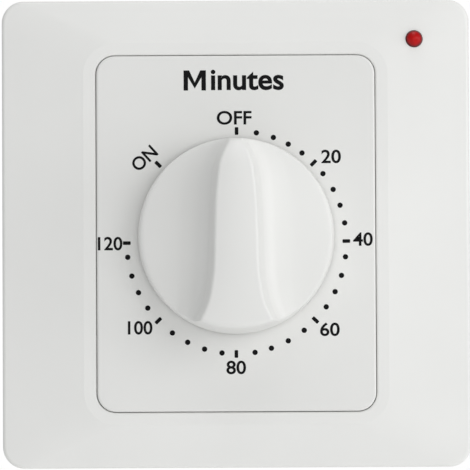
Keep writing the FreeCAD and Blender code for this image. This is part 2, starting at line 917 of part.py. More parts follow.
def strip(label, across, front, finger=None):
    """A flat brass strip: a tab in one bay, and where asked a finger beside it in the housing."""
    made = new_body(label)
    plan = new_sketch(made, "strip_level", plane="XY_Plane")
    left, right = across + "-strip_half_width", across + "+strip_half_width"
    points = [(left, front), (right, front), (right, "strip_end"), (left, "strip_end")]
    if finger:
        inner = left if size(finger) < size(left) else right
        behind = "strip_front+strip_finger"
        if inner == left:
            points = [(finger, front), (right, front), (right, "strip_end")]
            points += [(left, "strip_end"), (left, behind), (finger, behind)]
        else:
            points = [(left, front), (finger, front), (finger, behind)]
            points += [(right, behind), (right, "strip_end"), (left, "strip_end")]
    outline(plan, points)
    circle(plan, across, "terminal_screw_depth", "terminal_screw_radius+press_gap")
    raise_pad(made, plan, "strip_thick")
    return made


# The brass strips: load carries the fixed contact, live carries the moving leaf, and neutral
# only feeds the indicator.
strip("load_strip", "bay_pitch", "strip_front", finger="rivet_at-rivet_radius-slide_gap")
strip("live_strip", "-bay_pitch", "strip_front", finger="leaf_bend_at-strip_finger/2")
strip("neutral_strip", "0", "neutral_front")

# The moving leaf: a thin bronze strip doubled back under its strip, with a nose that rides on
# the cam, and a silver contact near its free end.
cam_top = size("cam_radius-axis_drop")
leaf_low = cam_top + size("leaf_clear")
leaf_top = leaf_low + size("leaf_thick")
under_strip = size("strip_level")
nose_down = size("cam_radius-axis_drop-notch_depth+leaf_clear")
nose_half = size("notch_depth")
bend = size("leaf_bend_at")
gauge = size("leaf_thick")
leaf_points = [
    (size("-bay_pitch"), under_strip),
    (bend, under_strip),
    (bend - gauge, under_strip - gauge),
    (bend - gauge, leaf_low + gauge),
    (bend, leaf_low),
    (-nose_half - gauge, leaf_low),
    (-gauge, nose_down),
    (gauge, nose_down),
    (nose_half + gauge, leaf_low),
    (size("leaf_end"), leaf_low),
    (size("leaf_end"), leaf_top),
    (nose_half, leaf_top),
    (0.0, nose_down + gauge),
    (-nose_half, leaf_top),
    (bend + gauge / 2, leaf_top),
    (bend, leaf_top + gauge / 2),
    (bend, under_strip - gauge - gauge / 2),
    (bend + gauge / 2, under_strip - gauge),
    (size("-bay_pitch"), under_strip - gauge),
]
feature_part(
    "moving_leaf",
    slab(leaf_points, size("strip_front"), size("strip_finger")),
)
rivet_middle = size("strip_front+strip_finger/2")
across = size("rivet_at")
high = size("rivet_high")
moving_head = Part.makeCylinder(
    size("rivet_radius"), high, Vector(across, rivet_middle, leaf_top), Vector(0, 0, 1)
)
feature_part("moving_contact", moving_head)
fixed_head = Part.makeCylinder(
    size("rivet_radius"), high, Vector(across, rivet_middle, under_strip), Vector(0, 0, -1)
)
feature_part("fixed_contact", fixed_head)
leaf_rivet = Part.makeCylinder(
    size("rivet_radius"),
    size("strip_thick"),
    Vector(size("(leaf_bend_at-bay_pitch)/2"), rivet_middle, under_strip + size("strip_thick")),
    Vector(0, 0, 1),
)
feature_part("leaf_rivet", leaf_rivet)


# A screw head's shape: the share of its height that is rounded, how deep the cross goes, and how
# far the cross reaches and how wide it is as shares of the head's radius.
HEAD_BEVEL, CROSS_DEEP, CROSS_REACH, CROSS_WIDE = 0.35, 0.5, 1.2, 0.24


def screw(label, places, radius, head_radius, head, length, way):
    """Bevelled pan-head screws with a cross recess, one solid at each (x, y, z) place under the head."""
    shank = Part.makeCylinder(radius, length, Vector(), way)
    top = Part.makeCylinder(head_radius, head, way * -head, way)
    face_edges = [edge for edge in top.Edges if edge.BoundBox.Center.dot(way) < -head * HEAD_BEVEL]
    rim = [edge for edge in face_edges if edge.Closed]
    top = top.makeChamfer(head * HEAD_BEVEL, rim)
    across = way.cross(Vector(1, 1, 1)).normalize()
    along = way.cross(across)
    for first, second in ((across, along), (along, across)):
        reach, wide = first * head_radius * CROSS_REACH, second * head_radius * CROSS_WIDE
        corner = way * -head - reach / 2 - wide / 2
        corners = [corner, corner + reach, corner + reach + wide, corner + wide, corner]
        bar = Part.Face(Part.makePolygon(corners)).extrude(way * head * CROSS_DEEP)
        top = top.cut(bar)
    made = top.fuse(shank).removeSplitter().Solids[0]
    return feature_part(label, Part.makeCompound([made.translated(Vector(*at)) for at in places]))


BACK = Vector(0, 1, 0)
FRONT = Vector(0, -1, 0)
pitch = size("bay_pitch")
washer_top = size("strip_level+strip_thick+washer_thick")
screw(
    "terminal_screws",
    [(n * pitch, size("terminal_screw_depth"), washer_top) for n in (-1, 0, 1)],
    size("terminal_screw_radius"),
    size("terminal_screw_head"),
    size("terminal_head_thick"),
    size("terminal_thread") + size("strip_thick+washer_thick"),
    Vector(0, 0, -1),
)
washers = []
for n in (-1, 0, 1):
    half = size("washer_size/2")
    middle = Vector(n * pitch, size("terminal_screw_depth"), size("strip_level+strip_thick"))
    plate = Part.makeBox(2 * half, 2 * half, size("washer_thick"), middle - Vector(half, half, 0))
    bore = Part.makeCylinder(size("terminal_screw_radius+press_gap"), size("washer_thick"), middle)
    washers.append(plate.cut(bore))
feature_part("clamp_washers", Part.makeCompound(washers))
screw(
    "block_screws",
    [
        (
            side * size("bay_pitch*3/2+block_ear/2"),
            size("housing_depth+block_floor"),
            size("strip_level-block_floor/2"),
        )
        for side in (1, -1)
    ],
    size("block_screw_radius"),
    size("block_floor/2"),
    size("head_thick"),
    size("block_floor+housing_floor"),
    FRONT,
)
ear_across = size("housing_width/2+ear_reach/2")
ear_up = size("ear_up")
screw(
    "housing_screws",
    [(way * ear_across, size("ear_thick"), way * ear_up) for way in (1, -1)],
    size("housing_screw_radius"),
    size("housing_screw_head"),
    size("head_thick"),
    size("ear_thick+screw_tower-tower_cap-screw_end_gap"),
    FRONT,
)

# The movement: two brass plates held apart by four turned pillars, with the train between them.
drop = size("axis_drop")
first_plate = size("front_plate_depth")
plate_gauge = size("plate_gauge")
second_plate = first_plate + plate_gauge + size("plates_apart")
between = first_plate + plate_gauge


def polar(reach, degrees):
    """A place seen from the main shaft: (across, up) at a distance and an angle."""
    angle = math.radians(degrees)
    return reach * math.cos(angle), reach * math.sin(angle)


def turn_between(near, far, apart):
    """The angle at the main shaft between two arbors a given distance apart."""
    return math.degrees(math.acos((near * near + far * far - apart * apart) / (2 * near * far)))


first_centres = size("(great_teeth+second_pinion_leaves)/2*first_module")
second_centres = size("(second_teeth+third_pinion_leaves)/2*second_module")
third_centres = size("(third_teeth+escape_pinion_leaves)/2*third_module")
pallet_half_angle = size("180*pallet_span/escape_teeth")
anchor_centres = size("escape_radius") / math.cos(math.radians(pallet_half_angle))
second_angle = size("second_arbor_angle")
third_angle = second_angle + turn_between(first_centres, size("third_arbor_reach"), second_centres)
escape_angle = third_angle + turn_between(
    size("third_arbor_reach"), size("escape_arbor_reach"), third_centres
)
anchor_angle = escape_angle + turn_between(
    size("escape_arbor_reach"), size("anchor_arbor_reach"), anchor_centres
)
second_at = polar(first_centres, second_angle)
third_at = polar(size("third_arbor_reach"), third_angle)
escape_at = polar(size("escape_arbor_reach"), escape_angle)
anchor_at = polar(size("anchor_arbor_reach"), anchor_angle)
arbors = (second_at, third_at, escape_at, anchor_at)


def bearing(here, there):
    """The direction from one place to another, in degrees."""
    return math.degrees(math.atan2(there[1] - here[1], there[0] - here[0]))


def movement_plate(label, depth):
    """One plate, with the shaft's journal, four pivot holes and four pillar screw holes."""
    made = new_body(label, up="-axis_drop", front="-(%s)" % depth)
    drawn = new_sketch(made, "-plate_gauge")
    rounded(drawn, "plates_width", "plates_height", "plates_corner")
    circle(drawn, "0", "0", "journal_radius+shaft_gap")
    for right in (1, -1):
        for up in (1, -1):
            across = "%d*pillar_offset_x" % right
            circle(drawn, across, "%d*pillar_offset_z" % up, "plate_screw_radius+slide_gap")
            if depth == "front_plate_depth":
                across = "%d*movement_screw_x" % right
                circle(drawn, across, "%d*movement_screw_z" % up, "plate_screw_radius+press_gap")
    raise_pad(made, drawn, "plate_gauge")
    pivots = new_sketch(made, "-plate_gauge")
    for x, z in arbors:
        circle(pivots, "%.6f" % x, "%.6f" % z, "pivot_radius+pivot_gap")
    cut_pocket(made, pivots, "plate_gauge", front=True)
    return made


# The spring's outer end bears on a post that is riveted in the front plate.
spring_end = size("spring_arbor_radius+press_gap+spring_strip+spring_half_turns*spring_turn/2")
front = movement_plate("front_plate", "front_plate_depth")
post = new_sketch(front, "-plate_gauge")
circle(post, "0", "-(%.6f+spring_post_radius+slide_gap)" % spring_end, "spring_post_radius")
raise_pad(front, post, "spring_depth+spring_width-front_plate_depth-plate_gauge", back=True)
movement_plate("back_plate", "front_plate_depth+plate_gauge+plates_apart")
corners = [
    (right * size("pillar_offset_x"), up * size("pillar_offset_z"))
    for right in (1, -1)
    for up in (1, -1)
]
pillars = []
for x, z in corners:
    length = size("plates_apart")
    radius = size("pillar_radius")
    collar_high = size("pillar_collar")
    waist = rod(radius - size("pillar_neck"), between + collar_high, length - 2 * collar_high, x, z)
    for depth in (between, second_plate - collar_high):
        waist = waist.fuse(rod(radius, depth, collar_high, x, z))
    for depth in (between, second_plate - size("pillar_thread")):
        waist = waist.cut(rod(size("plate_screw_radius+press_gap"), depth, size("pillar_thread"), x, z))
    pillars.append(waist)
feature_part("pillars", Part.makeCompound(pillars), up=-drop)
plate_back = second_plate + plate_gauge
screw_length = plate_gauge + size("pillar_thread-screw_end_gap")
places = [(x, plate_back, z - drop) for x, z in corners]
places_front = [(x, first_plate, z - drop) for x, z in corners]
screw(
    "back_plate_screws",
    places,
    size("plate_screw_radius"),
    size("plate_screw_head"),
    size("plate_screw_head_thick"),
    screw_length,
    FRONT,
)
screw(
    "front_plate_screws",
    places_front,
    size("plate_screw_radius"),
    size("plate_screw_head"),
    size("plate_screw_head_thick"),
    screw_length,
    BACK,
)
screw(
    "movement_screws",
    [
        (
            right * size("movement_screw_x"),
            -size("base_thick"),
            up * size("movement_screw_z") - drop,
        )
        for right in (1, -1)
        for up in (1, -1)
    ],
    size("plate_screw_radius"),
    size("plate_screw_head"),
    size("plate_screw_head_thick"),
    size("base_thick+front_plate_depth+plate_gauge"),
    BACK,
)

# The main shaft: one turned steel piece. The spring hooks on its thick arbor, the great wheel
# sits behind the flange, and its front end is cut flat for the knob.
shaft = new_body("main_shaft", up="-axis_drop")
wheel_seat = "great_wheel_depth"
groove_from = "great_wheel_depth+great_wheel_thick+clutch_height"
cam_from = "cam_front"
spin(
    shaft,
    [
        ("0", "-(panel_front+bore_top-slide_gap)"),
        ("shaft_radius", "-(panel_front+bore_top-slide_gap)"),
        ("shaft_radius", "front_plate_depth-slide_gap"),
        ("journal_radius", "front_plate_depth-slide_gap"),
        ("journal_radius", "front_plate_depth+plate_gauge+slide_gap"),
        ("spring_arbor_radius", "front_plate_depth+plate_gauge+slide_gap"),
        ("spring_arbor_radius", "spring_depth+spring_width+slide_gap"),
        ("flange_radius", "spring_depth+spring_width+slide_gap"),
        ("flange_radius", wheel_seat),
        ("shaft_radius", wheel_seat),
        ("shaft_radius", groove_from),
        ("shaft_radius-clip_groove", groove_from),
        ("shaft_radius-clip_groove", groove_from + "+clip_thick"),
        ("shaft_radius", groove_from + "+clip_thick"),
        ("shaft_radius", "front_plate_depth+plate_gauge+plates_apart-slide_gap"),
        ("journal_radius", "front_plate_depth+plate_gauge+plates_apart-slide_gap"),
        ("journal_radius", cam_from + "+cam_thick+shaft_end"),
        ("0", cam_from + "+cam_thick+shaft_end"),
    ],
)
shaft_flat = new_sketch(shaft, "panel_front-hub_reach")
rectangle(shaft_flat, "0", "2*shaft_flat", "2*shaft_radius", "2*shaft_flat")
cut_pocket(shaft, shaft_flat, "bore_top+hub_reach+overcut", front=True)

# The shaft's retaining clip: a flat ring, open at one side, in the groove behind the clutch.
shaft_clip = new_body("shaft_clip", up="-axis_drop")
spin(
    shaft_clip,
    [
        ("shaft_radius-clip_groove+press_gap", groove_from + "+press_gap"),
        ("clip_radius", groove_from + "+press_gap"),
        ("clip_radius", groove_from + "+clip_thick-press_gap"),
        ("shaft_radius-clip_groove+press_gap", groove_from + "+clip_thick-press_gap"),
    ],
)
clip_mouth = new_sketch(shaft_clip, "-(%s)" % groove_from)
rectangle(clip_mouth, "0", "clip_radius", "clip_mouth", "2*clip_radius")
cut_pocket(shaft_clip, clip_mouth, "2*clip_thick")

# The clutch: a dished spring washer that presses the great wheel against the flange, so the knob
# can be wound without turning the train.
clutch = new_body("clutch_washer", up="-axis_drop")
spin(
    clutch,
    [
        ("shaft_radius+shaft_gap", groove_from + "-clutch_leaf"),
        ("shaft_radius+shaft_gap", groove_from),
        ("clip_radius", groove_from),
        ("clutch_radius", "great_wheel_depth+great_wheel_thick+clutch_leaf"),
        ("clutch_radius", "great_wheel_depth+great_wheel_thick"),
        ("clip_radius", groove_from + "-clutch_leaf"),
    ],
)


def face_in(points, depth):
    """A flat face square to Y through (across, up) points."""
    corners = [Vector(x, depth, z) for x, z in points]
    return Part.Face(Part.makePolygon(corners + corners[:1]))


def pierced(face, holes, thick):
    """The face with round holes of (across, up, radius), made thick into the wall."""
    depth = face.BoundBox.YMin
    wires = [face.OuterWire]
    for x, z, radius in holes:
        ring = Part.makeCircle(radius, Vector(x, depth, z), Vector(0, 1, 0))
        wires.append(Part.Wire(ring))
    return Part.Face(wires, "Part::FaceMakerBullseye").extrude(Vector(0, thick, 0))


def toothed(teeth, module, depth, tip, root, share, turned=0.0):
    """The outline face of a toothed disc: straight flanks, pointed tips, a tooth at turned degrees."""
    pitch_radius = teeth * module / 2
    half = share * math.pi / teeth
    shape = (
        (pitch_radius - root * module, -half),
        (pitch_radius, -half),
        (pitch_radius + tip * module, 0.0),
        (pitch_radius, half),
        (pitch_radius - root * module, half),
    )
    points = []
    for n in range(teeth):
        middle = math.radians(turned) + 2 * math.pi * n / teeth
        for radius, offset in shape:
            angle = middle + offset
            points.append((radius * math.cos(angle), radius * math.sin(angle)))
    return face_in(points, depth)


# Tooth shapes as shares of the module, and each tooth's share of its half pitch.
WHEEL_TIP, WHEEL_ROOT, WHEEL_SHARE = 1.2, 1.5, 0.42
LEAF_TIP, LEAF_ROOT, LEAF_SHARE = 0.75, 1.7, 0.34


def wheel(label, teeth, module, depth, thick, bore, at):
    """A brass wheel, lightened by a ring of round windows."""
    disc = toothed(teeth, module, depth, WHEEL_TIP, WHEEL_ROOT, WHEEL_SHARE)
    rim = teeth * module / 2 - 2 * WHEEL_ROOT * module
    hub = bore + size("wheel_hub")
    holes = [(0.0, 0.0, bore)]
    windows = int(size("wheel_windows"))
    for n in range(windows):
        x, z = polar((rim + hub) / 2, 360.0 * n / windows)
        holes.append((x, z, (rim - hub) / 2))
    return feature_part(label, pierced(disc, holes, thick), at[0], at[1] - drop)


def arbor(label, radius, at, leaves=None):
    """A steel arbor with a pivot at each end; leaves adds the pinion that is cut in it."""
    shake, shy = size("end_shake"), size("pivot_shy")
    body = rod(radius, between + shake, size("plates_apart") - 2 * shake)
    pivot = rod(size("pivot_radius"), first_plate + shy, plate_back - first_plate - 2 * shy)
    shape = body.fuse(pivot)
    if leaves:
        teeth, module, depth, thick = leaves
        face = toothed(teeth, module, depth, LEAF_TIP, LEAF_ROOT, LEAF_SHARE, leaves_turned[label])
        shape = shape.fuse(face.extrude(Vector(0, thick, 0)))
    return feature_part(label, shape.removeSplitter(), at[0], at[1] - drop)


def meshed(wheel_turned, teeth, leaves, line):
    """How far a pinion is turned so that its leaves stand in the gaps of the wheel that it meets."""
    share = (wheel_turned - line) * teeth / 360
    return line + 180 + (0.5 - share) * 360 / leaves


leaves_turned = {
    "second_pinion": meshed(
        0.0, size("great_teeth"), size("second_pinion_leaves"), bearing((0, 0), second_at)
    ),
    "third_pinion": meshed(
        0.0, size("second_teeth"), size("third_pinion_leaves"), bearing(second_at, third_at)
    ),
    "escape_pinion": meshed(
        0.0, size("third_teeth"), size("escape_pinion_leaves"), bearing(third_at, escape_at)
    ),
}
overhang = size("leaf_overhang")
wheel(
    "great_wheel",
    int(size("great_teeth")),
    size("first_module"),
    size("great_wheel_depth"),
    size("great_wheel_thick"),
    size("shaft_radius+shaft_gap"),
    (0.0, 0.0),
)
arbor(
    "second_pinion",
    size("second_arbor_radius"),
    second_at,
    (
        int(size("second_pinion_leaves")),
        size("first_module"),
        size("great_wheel_depth") - overhang,
        size("great_wheel_thick") + 2 * overhang,
    ),
)
wheel(
    "second_wheel",
    int(size("second_teeth")),
    size("second_module"),
    size("second_wheel_depth"),
    size("wheel_thick"),
    size("second_arbor_radius+press_gap"),
    second_at,
)
arbor(
    "third_pinion",
    size("third_arbor_radius"),
    third_at,
    (
        int(size("third_pinion_leaves")),
        size("second_module"),
        size("second_wheel_depth") - overhang,
        size("wheel_thick") + 2 * overhang,
    ),
)
wheel(
    "third_wheel",
    int(size("third_teeth")),
    size("third_module"),
    size("third_wheel_depth"),
    size("wheel_thick"),
    size("third_arbor_radius+press_gap"),
    third_at,
)
arbor(
    "escape_pinion",
    size("escape_arbor_radius"),
    escape_at,
    (
        int(size("escape_pinion_leaves")),
        size("third_module"),
        size("third_wheel_depth") - overhang,
        size("wheel_thick") + 2 * overhang,
    ),
)

# The escape wheel and the anchor: the anchor's two noses stand just off the wheel's tips when it
# hangs level, and each dips between two teeth at the end of its swing.
escape_depth = size("escape_wheel_depth")
escape_thick = size("escape_wheel_thick")
tip_radius = size("escape_radius")
root_radius = size("escape_root")
teeth = int(size("escape_teeth"))
step = 360.0 / teeth
line_down = bearing(escape_at, anchor_at)
first_tooth = line_down + pallet_half_angle + step / 4
# Half the width of a tooth at its root and its tip, as shares of the pitch.
ROOT_HALF, TIP_HALF = 0.3, 0.04
foot, point = (root_radius, ROOT_HALF), (tip_radius, TIP_HALF)
tooth = ((foot[0], -foot[1]), (point[0], -point[1]), point, foot)
points = []
for n in range(teeth):
    for radius, offset in tooth:
        points.append(polar(radius, first_tooth + (n + offset) * step))
star = face_in(points, escape_depth)
holes = [(0.0, 0.0, size("escape_arbor_radius+press_gap"))]
for n in range(4):
    x, z = polar(size("escape_window_reach"), 90 * n)
    holes.append((x, z, size("escape_window")))
star = pierced(star, holes, escape_thick)
feature_part("escape_wheel", star, escape_at[0], escape_at[1] - drop)

arbor("anchor_arbor", size("anchor_arbor_radius"), anchor_at)
anchor_depth = escape_depth + escape_thick / 2 - size("anchor_thick") / 2
hub_disc = rod(size("anchor_hub"), anchor_depth, size("anchor_thick"))
anchor_shape = hub_disc
for side in (1, -1):
    line = line_down + side * pallet_half_angle
    centre = (escape_at[0] - anchor_at[0], escape_at[1] - anchor_at[1])

    def from_wheel(radius, aside):
        """A place beside the nose's line, at a distance from the escape wheel's centre."""
        x, z = polar(radius, line)
        dx, dz = polar(aside, line + 90)
        return centre[0] + x + dx, centre[1] + z + dz

    nose_at = tip_radius + size("pallet_clear")
    back_at = nose_at + size("pallet_length")
    nose = size("pallet_nose/2")
    root = size("pallet_root/2")
    pallet = [from_wheel(nose_at, -nose), from_wheel(nose_at, nose)]
    pallet += [from_wheel(back_at, root), from_wheel(back_at, -root)]
    anchor_shape = anchor_shape.fuse(slab(pallet, anchor_depth, size("anchor_thick")))
    arm_end = from_wheel(back_at, 0.0)
    out = bearing((0, 0), arm_end)
    half = size("anchor_arm/2")
    arm = []
    for place, aside in (((0.0, 0.0), -half), (arm_end, -half), (arm_end, half), ((0.0, 0.0), half)):
        dx, dz = polar(aside, out + 90)
        arm.append((place[0] + dx, place[1] + dz))
    anchor_shape = anchor_shape.fuse(slab(arm, anchor_depth, size("anchor_thick")))
anchor_bore = rod(size("anchor_arbor_radius+press_gap"), anchor_depth, size("anchor_thick"))
anchor_shape = anchor_shape.cut(anchor_bore).removeSplitter()
feature_part("anchor", anchor_shape, anchor_at[0], anchor_at[1] - drop)
bar = Part.makeBox(
    size("bar_length"),
    size("bar_thick"),
    size("bar_width"),
    Vector(-size("bar_length") / 2, size("bar_depth"), -size("bar_width") / 2),
)
bar = bar.cut(rod(size("anchor_arbor_radius+press_gap"), size("bar_depth"), size("bar_thick")))
bar.rotate(Vector(), Vector(0, 1, 0), -size("bar_angle"))
feature_part("inertia_bar", bar, anchor_at[0], anchor_at[1] - drop)

# The mainspring: a flat strip wound from the arbor outwards in half turns about two centres, one
# spring pitch apart in all, so that each half turn runs on into the next.
strip_gauge = size("spring_strip")
grow = size("spring_turn") / 2
inner_start = size("spring_arbor_radius+press_gap")
inner_edge = []
outer_edge = []
radius = inner_start
centre_z = 0.0
for n in range(int(size("spring_half_turns"))):
    way = 1 if n % 2 == 0 else -1
    middle = Vector(0, size("spring_depth"), centre_z)
    for edge, reach in ((inner_edge, radius), (outer_edge, radius + strip_gauge)):
        low = middle + Vector(0, 0, -reach * way)
        side = middle + Vector(reach * way, 0, 0)
        top = middle + Vector(0, 0, reach * way)
        edge.append(Part.Arc(low, side, top).toShape())
    centre_z -= way * grow
    radius += grow
start_cap = Part.makeLine(inner_edge[0].Vertexes[0].Point, outer_edge[0].Vertexes[0].Point)
end_cap = Part.makeLine(inner_edge[-1].Vertexes[-1].Point, outer_edge[-1].Vertexes[-1].Point)
ribbon = Part.Wire(Part.__sortEdges__(inner_edge + outer_edge + [start_cap, end_cap]))
ribbon = Part.Face(ribbon).extrude(Vector(0, size("spring_width"), 0))
feature_part("mainspring", ribbon, up=-drop)

# The cam: a disc on the shaft's rear end with one notch, which stands under the leaf's nose when
# the pointer is at OFF.
cam_depth = size("cam_front")
wide = size("notch_half_angle")
narrow = size("notch_floor_half_angle")
cam_disc = rod(size("cam_radius"), cam_depth, size("cam_thick"))
outside = size("cam_radius+overcut")
floor = size("cam_radius-notch_depth")
mouth = size("cam_radius")
notch = [polar(outside, 90 - wide), polar(mouth, 90 - wide), polar(floor, 90 - narrow)]
notch += [polar(floor, 90 + narrow), polar(mouth, 90 + wide), polar(outside, 90 + wide)]
cam_disc = cam_disc.cut(slab(notch, cam_depth, size("cam_thick")))
cam_disc = cam_disc.cut(rod(size("journal_radius+press_gap"), cam_depth, size("cam_thick")))
feature_part("switch_cam", cam_disc, up=-drop)

# The indicator: a red light behind the cover's corner, on a small board with its dropper resistor
# and diode.
led = new_body("indicator_led", across="led_across", up="led_up")
spin(
    led,
    [
        ("0", "-board_front"),
        ("led_flange_radius", "-board_front"),
        ("led_flange_radius", "-(board_front+led_flange_thick)"),
        ("led_radius", "-(board_front+led_flange_thick)"),
        ("led_radius", "-(led_tip-led_radius)"),
        ("0", "-(led_tip-led_radius)"),
    ],
)
dome = led.newObject("PartDesign::AdditiveSphere", "led_dome")
dome.AttachmentSupport = (next(f for f in led.Origin.OriginFeatures if f.Role == "XY_Plane"), [""])
dome.MapMode = "FlatFace"
dome.setExpression("Radius", tied("led_radius"))
dome.setExpression("AttachmentOffset.Base.y", tied("-(led_tip-led_radius)"))
board = new_body("led_board", across="led_across", up="led_up")
board_outline = new_sketch(board, "board_front-board_thick")
rectangle(board_outline, "-board_aside", "board_above-board_height/2", "board_width", "board_height")
raise_pad(board, board_outline, "board_thick")


def axial(label, body_radius, body_length, up):
    """A small axial component lying across the board, its leads bent down to the board."""
    lead = size("lead_radius")
    front = size("board_front+slide_gap") + body_radius
    middle = size("led_across-board_aside")
    left = middle - size("lead_span") / 2 + lead
    right = middle + size("lead_span") / 2 - lead
    barrel = Part.makeCylinder(
        body_radius, body_length, Vector(middle - body_length / 2, -front, up), Vector(1, 0, 0)
    )
    wire = Part.makeCylinder(lead, right - left, Vector(left, -front, up), Vector(1, 0, 0))
    foot = size("board_front")
    legs = [Part.makeCylinder(lead, front - foot, Vector(x, -foot, up), FRONT) for x in (left, right)]
    knees = [Part.makeSphere(lead, Vector(x, -front, up)) for x in (left, right)]
    return feature_part(label, barrel.fuse([wire] + legs + knees).removeSplitter())


axial("led_resistor", size("resistor_radius"), size("resistor_length"), size("led_up-resistor_below"))
axial("led_diode", size("diode_radius"), size("diode_length"), size("led_up-diode_below"))

doc.recompute()
made_parts = [found for found in doc.Objects if found.TypeId in ("PartDesign::Body", "Part::Feature")]
faults = [found.Label for found in doc.Objects if "Invalid" in found.State or "Error" in found.State]
for found in made_parts:
    if found.Shape.isNull() or not found.Shape.isValid():
        faults.append(found.Label)
if faults:
    raise RuntimeError("objects that did not build: " + ", ".join(faults))
for found in made_parts:
    found.Shape.exportStep("parts/%s.step" % found.Label)
    print(found.Label, "solids", len(found.Shape.Solids), "volume", round(found.Shape.Volume, 2))
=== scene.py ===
import math

import bmesh
import bpy
import numpy as np
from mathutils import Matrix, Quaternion, Vector


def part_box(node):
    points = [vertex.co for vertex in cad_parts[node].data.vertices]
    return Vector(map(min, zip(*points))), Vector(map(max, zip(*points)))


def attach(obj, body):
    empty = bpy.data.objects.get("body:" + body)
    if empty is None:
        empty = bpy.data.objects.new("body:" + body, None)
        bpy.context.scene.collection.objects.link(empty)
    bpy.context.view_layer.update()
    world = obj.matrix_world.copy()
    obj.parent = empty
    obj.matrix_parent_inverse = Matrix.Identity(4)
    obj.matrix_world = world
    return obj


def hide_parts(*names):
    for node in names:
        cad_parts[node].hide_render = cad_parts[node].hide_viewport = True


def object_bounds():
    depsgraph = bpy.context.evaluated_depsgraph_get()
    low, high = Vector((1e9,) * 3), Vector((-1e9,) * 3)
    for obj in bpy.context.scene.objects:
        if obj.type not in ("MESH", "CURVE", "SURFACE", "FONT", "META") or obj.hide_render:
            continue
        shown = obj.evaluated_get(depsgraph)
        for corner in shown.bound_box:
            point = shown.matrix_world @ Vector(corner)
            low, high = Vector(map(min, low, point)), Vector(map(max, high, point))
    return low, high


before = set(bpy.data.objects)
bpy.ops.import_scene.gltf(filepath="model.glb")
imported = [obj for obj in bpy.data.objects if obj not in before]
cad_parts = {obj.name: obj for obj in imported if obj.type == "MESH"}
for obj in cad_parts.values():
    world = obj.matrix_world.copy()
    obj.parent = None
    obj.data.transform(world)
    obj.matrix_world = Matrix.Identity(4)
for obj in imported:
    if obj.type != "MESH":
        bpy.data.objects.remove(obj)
cad_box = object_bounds()
MM = 0.001

# The camera: level in front of the plate, a touch under its middle, with a long lens that fits
# the plate's width to the picture's.
CAMERA_AWAY = 800 * MM
CAMERA_RISE, CAMERA_ROLL = -2.0, -0.29
AIM_RIGHT = -0.2 * MM
PLATE_FRONT, VIEW_WIDE = 7 * MM, 86.42 * MM
NEAREST, FARTHEST = 10 * MM, 20.0

long_lens = bpy.data.cameras.new("long_lens")
camera = bpy.data.objects.new("camera", long_lens)
bpy.context.scene.collection.objects.link(camera)
bpy.context.scene.camera = camera
rise = math.radians(CAMERA_RISE)
backwards = Vector((0, -math.cos(rise), math.sin(rise)))
camera.location = Vector((AIM_RIGHT, 0, 0)) + backwards * CAMERA_AWAY
level = (-backwards).to_track_quat("-Z", "Y")
roll = Quaternion((0, 0, 1), math.radians(CAMERA_ROLL))
camera.rotation_euler = (level @ roll).to_euler()
long_lens.lens = long_lens.sensor_width * (CAMERA_AWAY - PLATE_FRONT) / VIEW_WIDE
long_lens.clip_start, long_lens.clip_end = NEAREST, FARTHEST
bpy.context.scene.view_settings.view_transform = "Standard"

# The room: a white studio that lights the timer evenly from all round, and that is plain white
# where it shows behind the plate.
ROOM_TINT, ROOM_STRENGTH = (0.97, 0.985, 1.0, 1), 0.29
WALL_WHITE = (1, 1, 1, 1)

world = bpy.data.worlds.new("white_room")
bpy.context.scene.world = world
world.use_nodes = True
room = world.node_tree
room_light = room.nodes["Background"]
room_light.inputs["Color"].default_value = ROOM_TINT
room_light.inputs["Strength"].default_value = ROOM_STRENGTH
seen_wall = room.nodes.new("ShaderNodeBackground")
seen_wall.inputs["Color"].default_value = WALL_WHITE
ray = room.nodes.new("ShaderNodeLightPath")
choose = room.nodes.new("ShaderNodeMixShader")
room.links.new(ray.outputs["Is Camera Ray"], choose.inputs["Fac"])
room.links.new(room_light.outputs["Background"], choose.inputs[1])
room.links.new(seen_wall.outputs["Background"], choose.inputs[2])
room.links.new(choose.outputs["Shader"], room.nodes["World Output"].inputs["Surface"])

# The lamps: square soft boxes on stands round the timer, as (name, degrees to the right, degrees
# up, watts). Those on the right draw the grip's flank, and those above light the upper slopes.
LAMP_AWAY, LAMP_WIDE = 0.80, 0.40
LAMPS = (
    ("window_low", 35, 15, 1.17),
    ("window_side", 62, 10, 0.60),
    ("window_edge", 50, 5, 0.20),
    ("side_strip", 75, 0, 0.80),
    ("left_fill", -85, -12, 0.38),
    ("front_fill", 0, 0, 0.62),
    ("soft_box", 0, 50, 0.50),
    ("soft_box_above", 0, 85, 1.90),
)
for name, degrees_right, degrees_up, watts in LAMPS:
    light = bpy.data.lights.new(name, "AREA")
    light.shape = "SQUARE"
    light.size = LAMP_WIDE
    light.energy = watts
    right, up = math.radians(degrees_right), math.radians(degrees_up)
    away = Vector((math.cos(up) * math.sin(right), -math.cos(up) * math.cos(right), math.sin(up)))
    stand = bpy.data.objects.new(name, light)
    bpy.context.scene.collection.objects.link(stand)
    stand.location = away * LAMP_AWAY
    stand.rotation_euler = (-away).to_track_quat("-Z", "Y").to_euler()

# The floor: a wide table with a matt white top, which stands so far below the plate that its far
# edge stays under the picture. Its faint glow lifts the plate's lower side.
TABLE_HALF, TABLE_DROP = 3.0, 260 * MM
TABLE_WHITE, TABLE_ROUGH, TABLE_GLOW = (0.9, 0.9, 0.9), 0.7, 0.24


def finish_of(name, colour, rough, metallic=0.0):
    """A new material in one colour, with its node tree and its Principled shader."""
    made = bpy.data.materials.new(name)
    made.use_nodes = True
    shader = made.node_tree.nodes["Principled BSDF"]
    shader.inputs["Base Color"].default_value = (*colour, 1)
    shader.inputs["Roughness"].default_value = rough
    shader.inputs["Metallic"].default_value = metallic
    return made, made.node_tree, shader


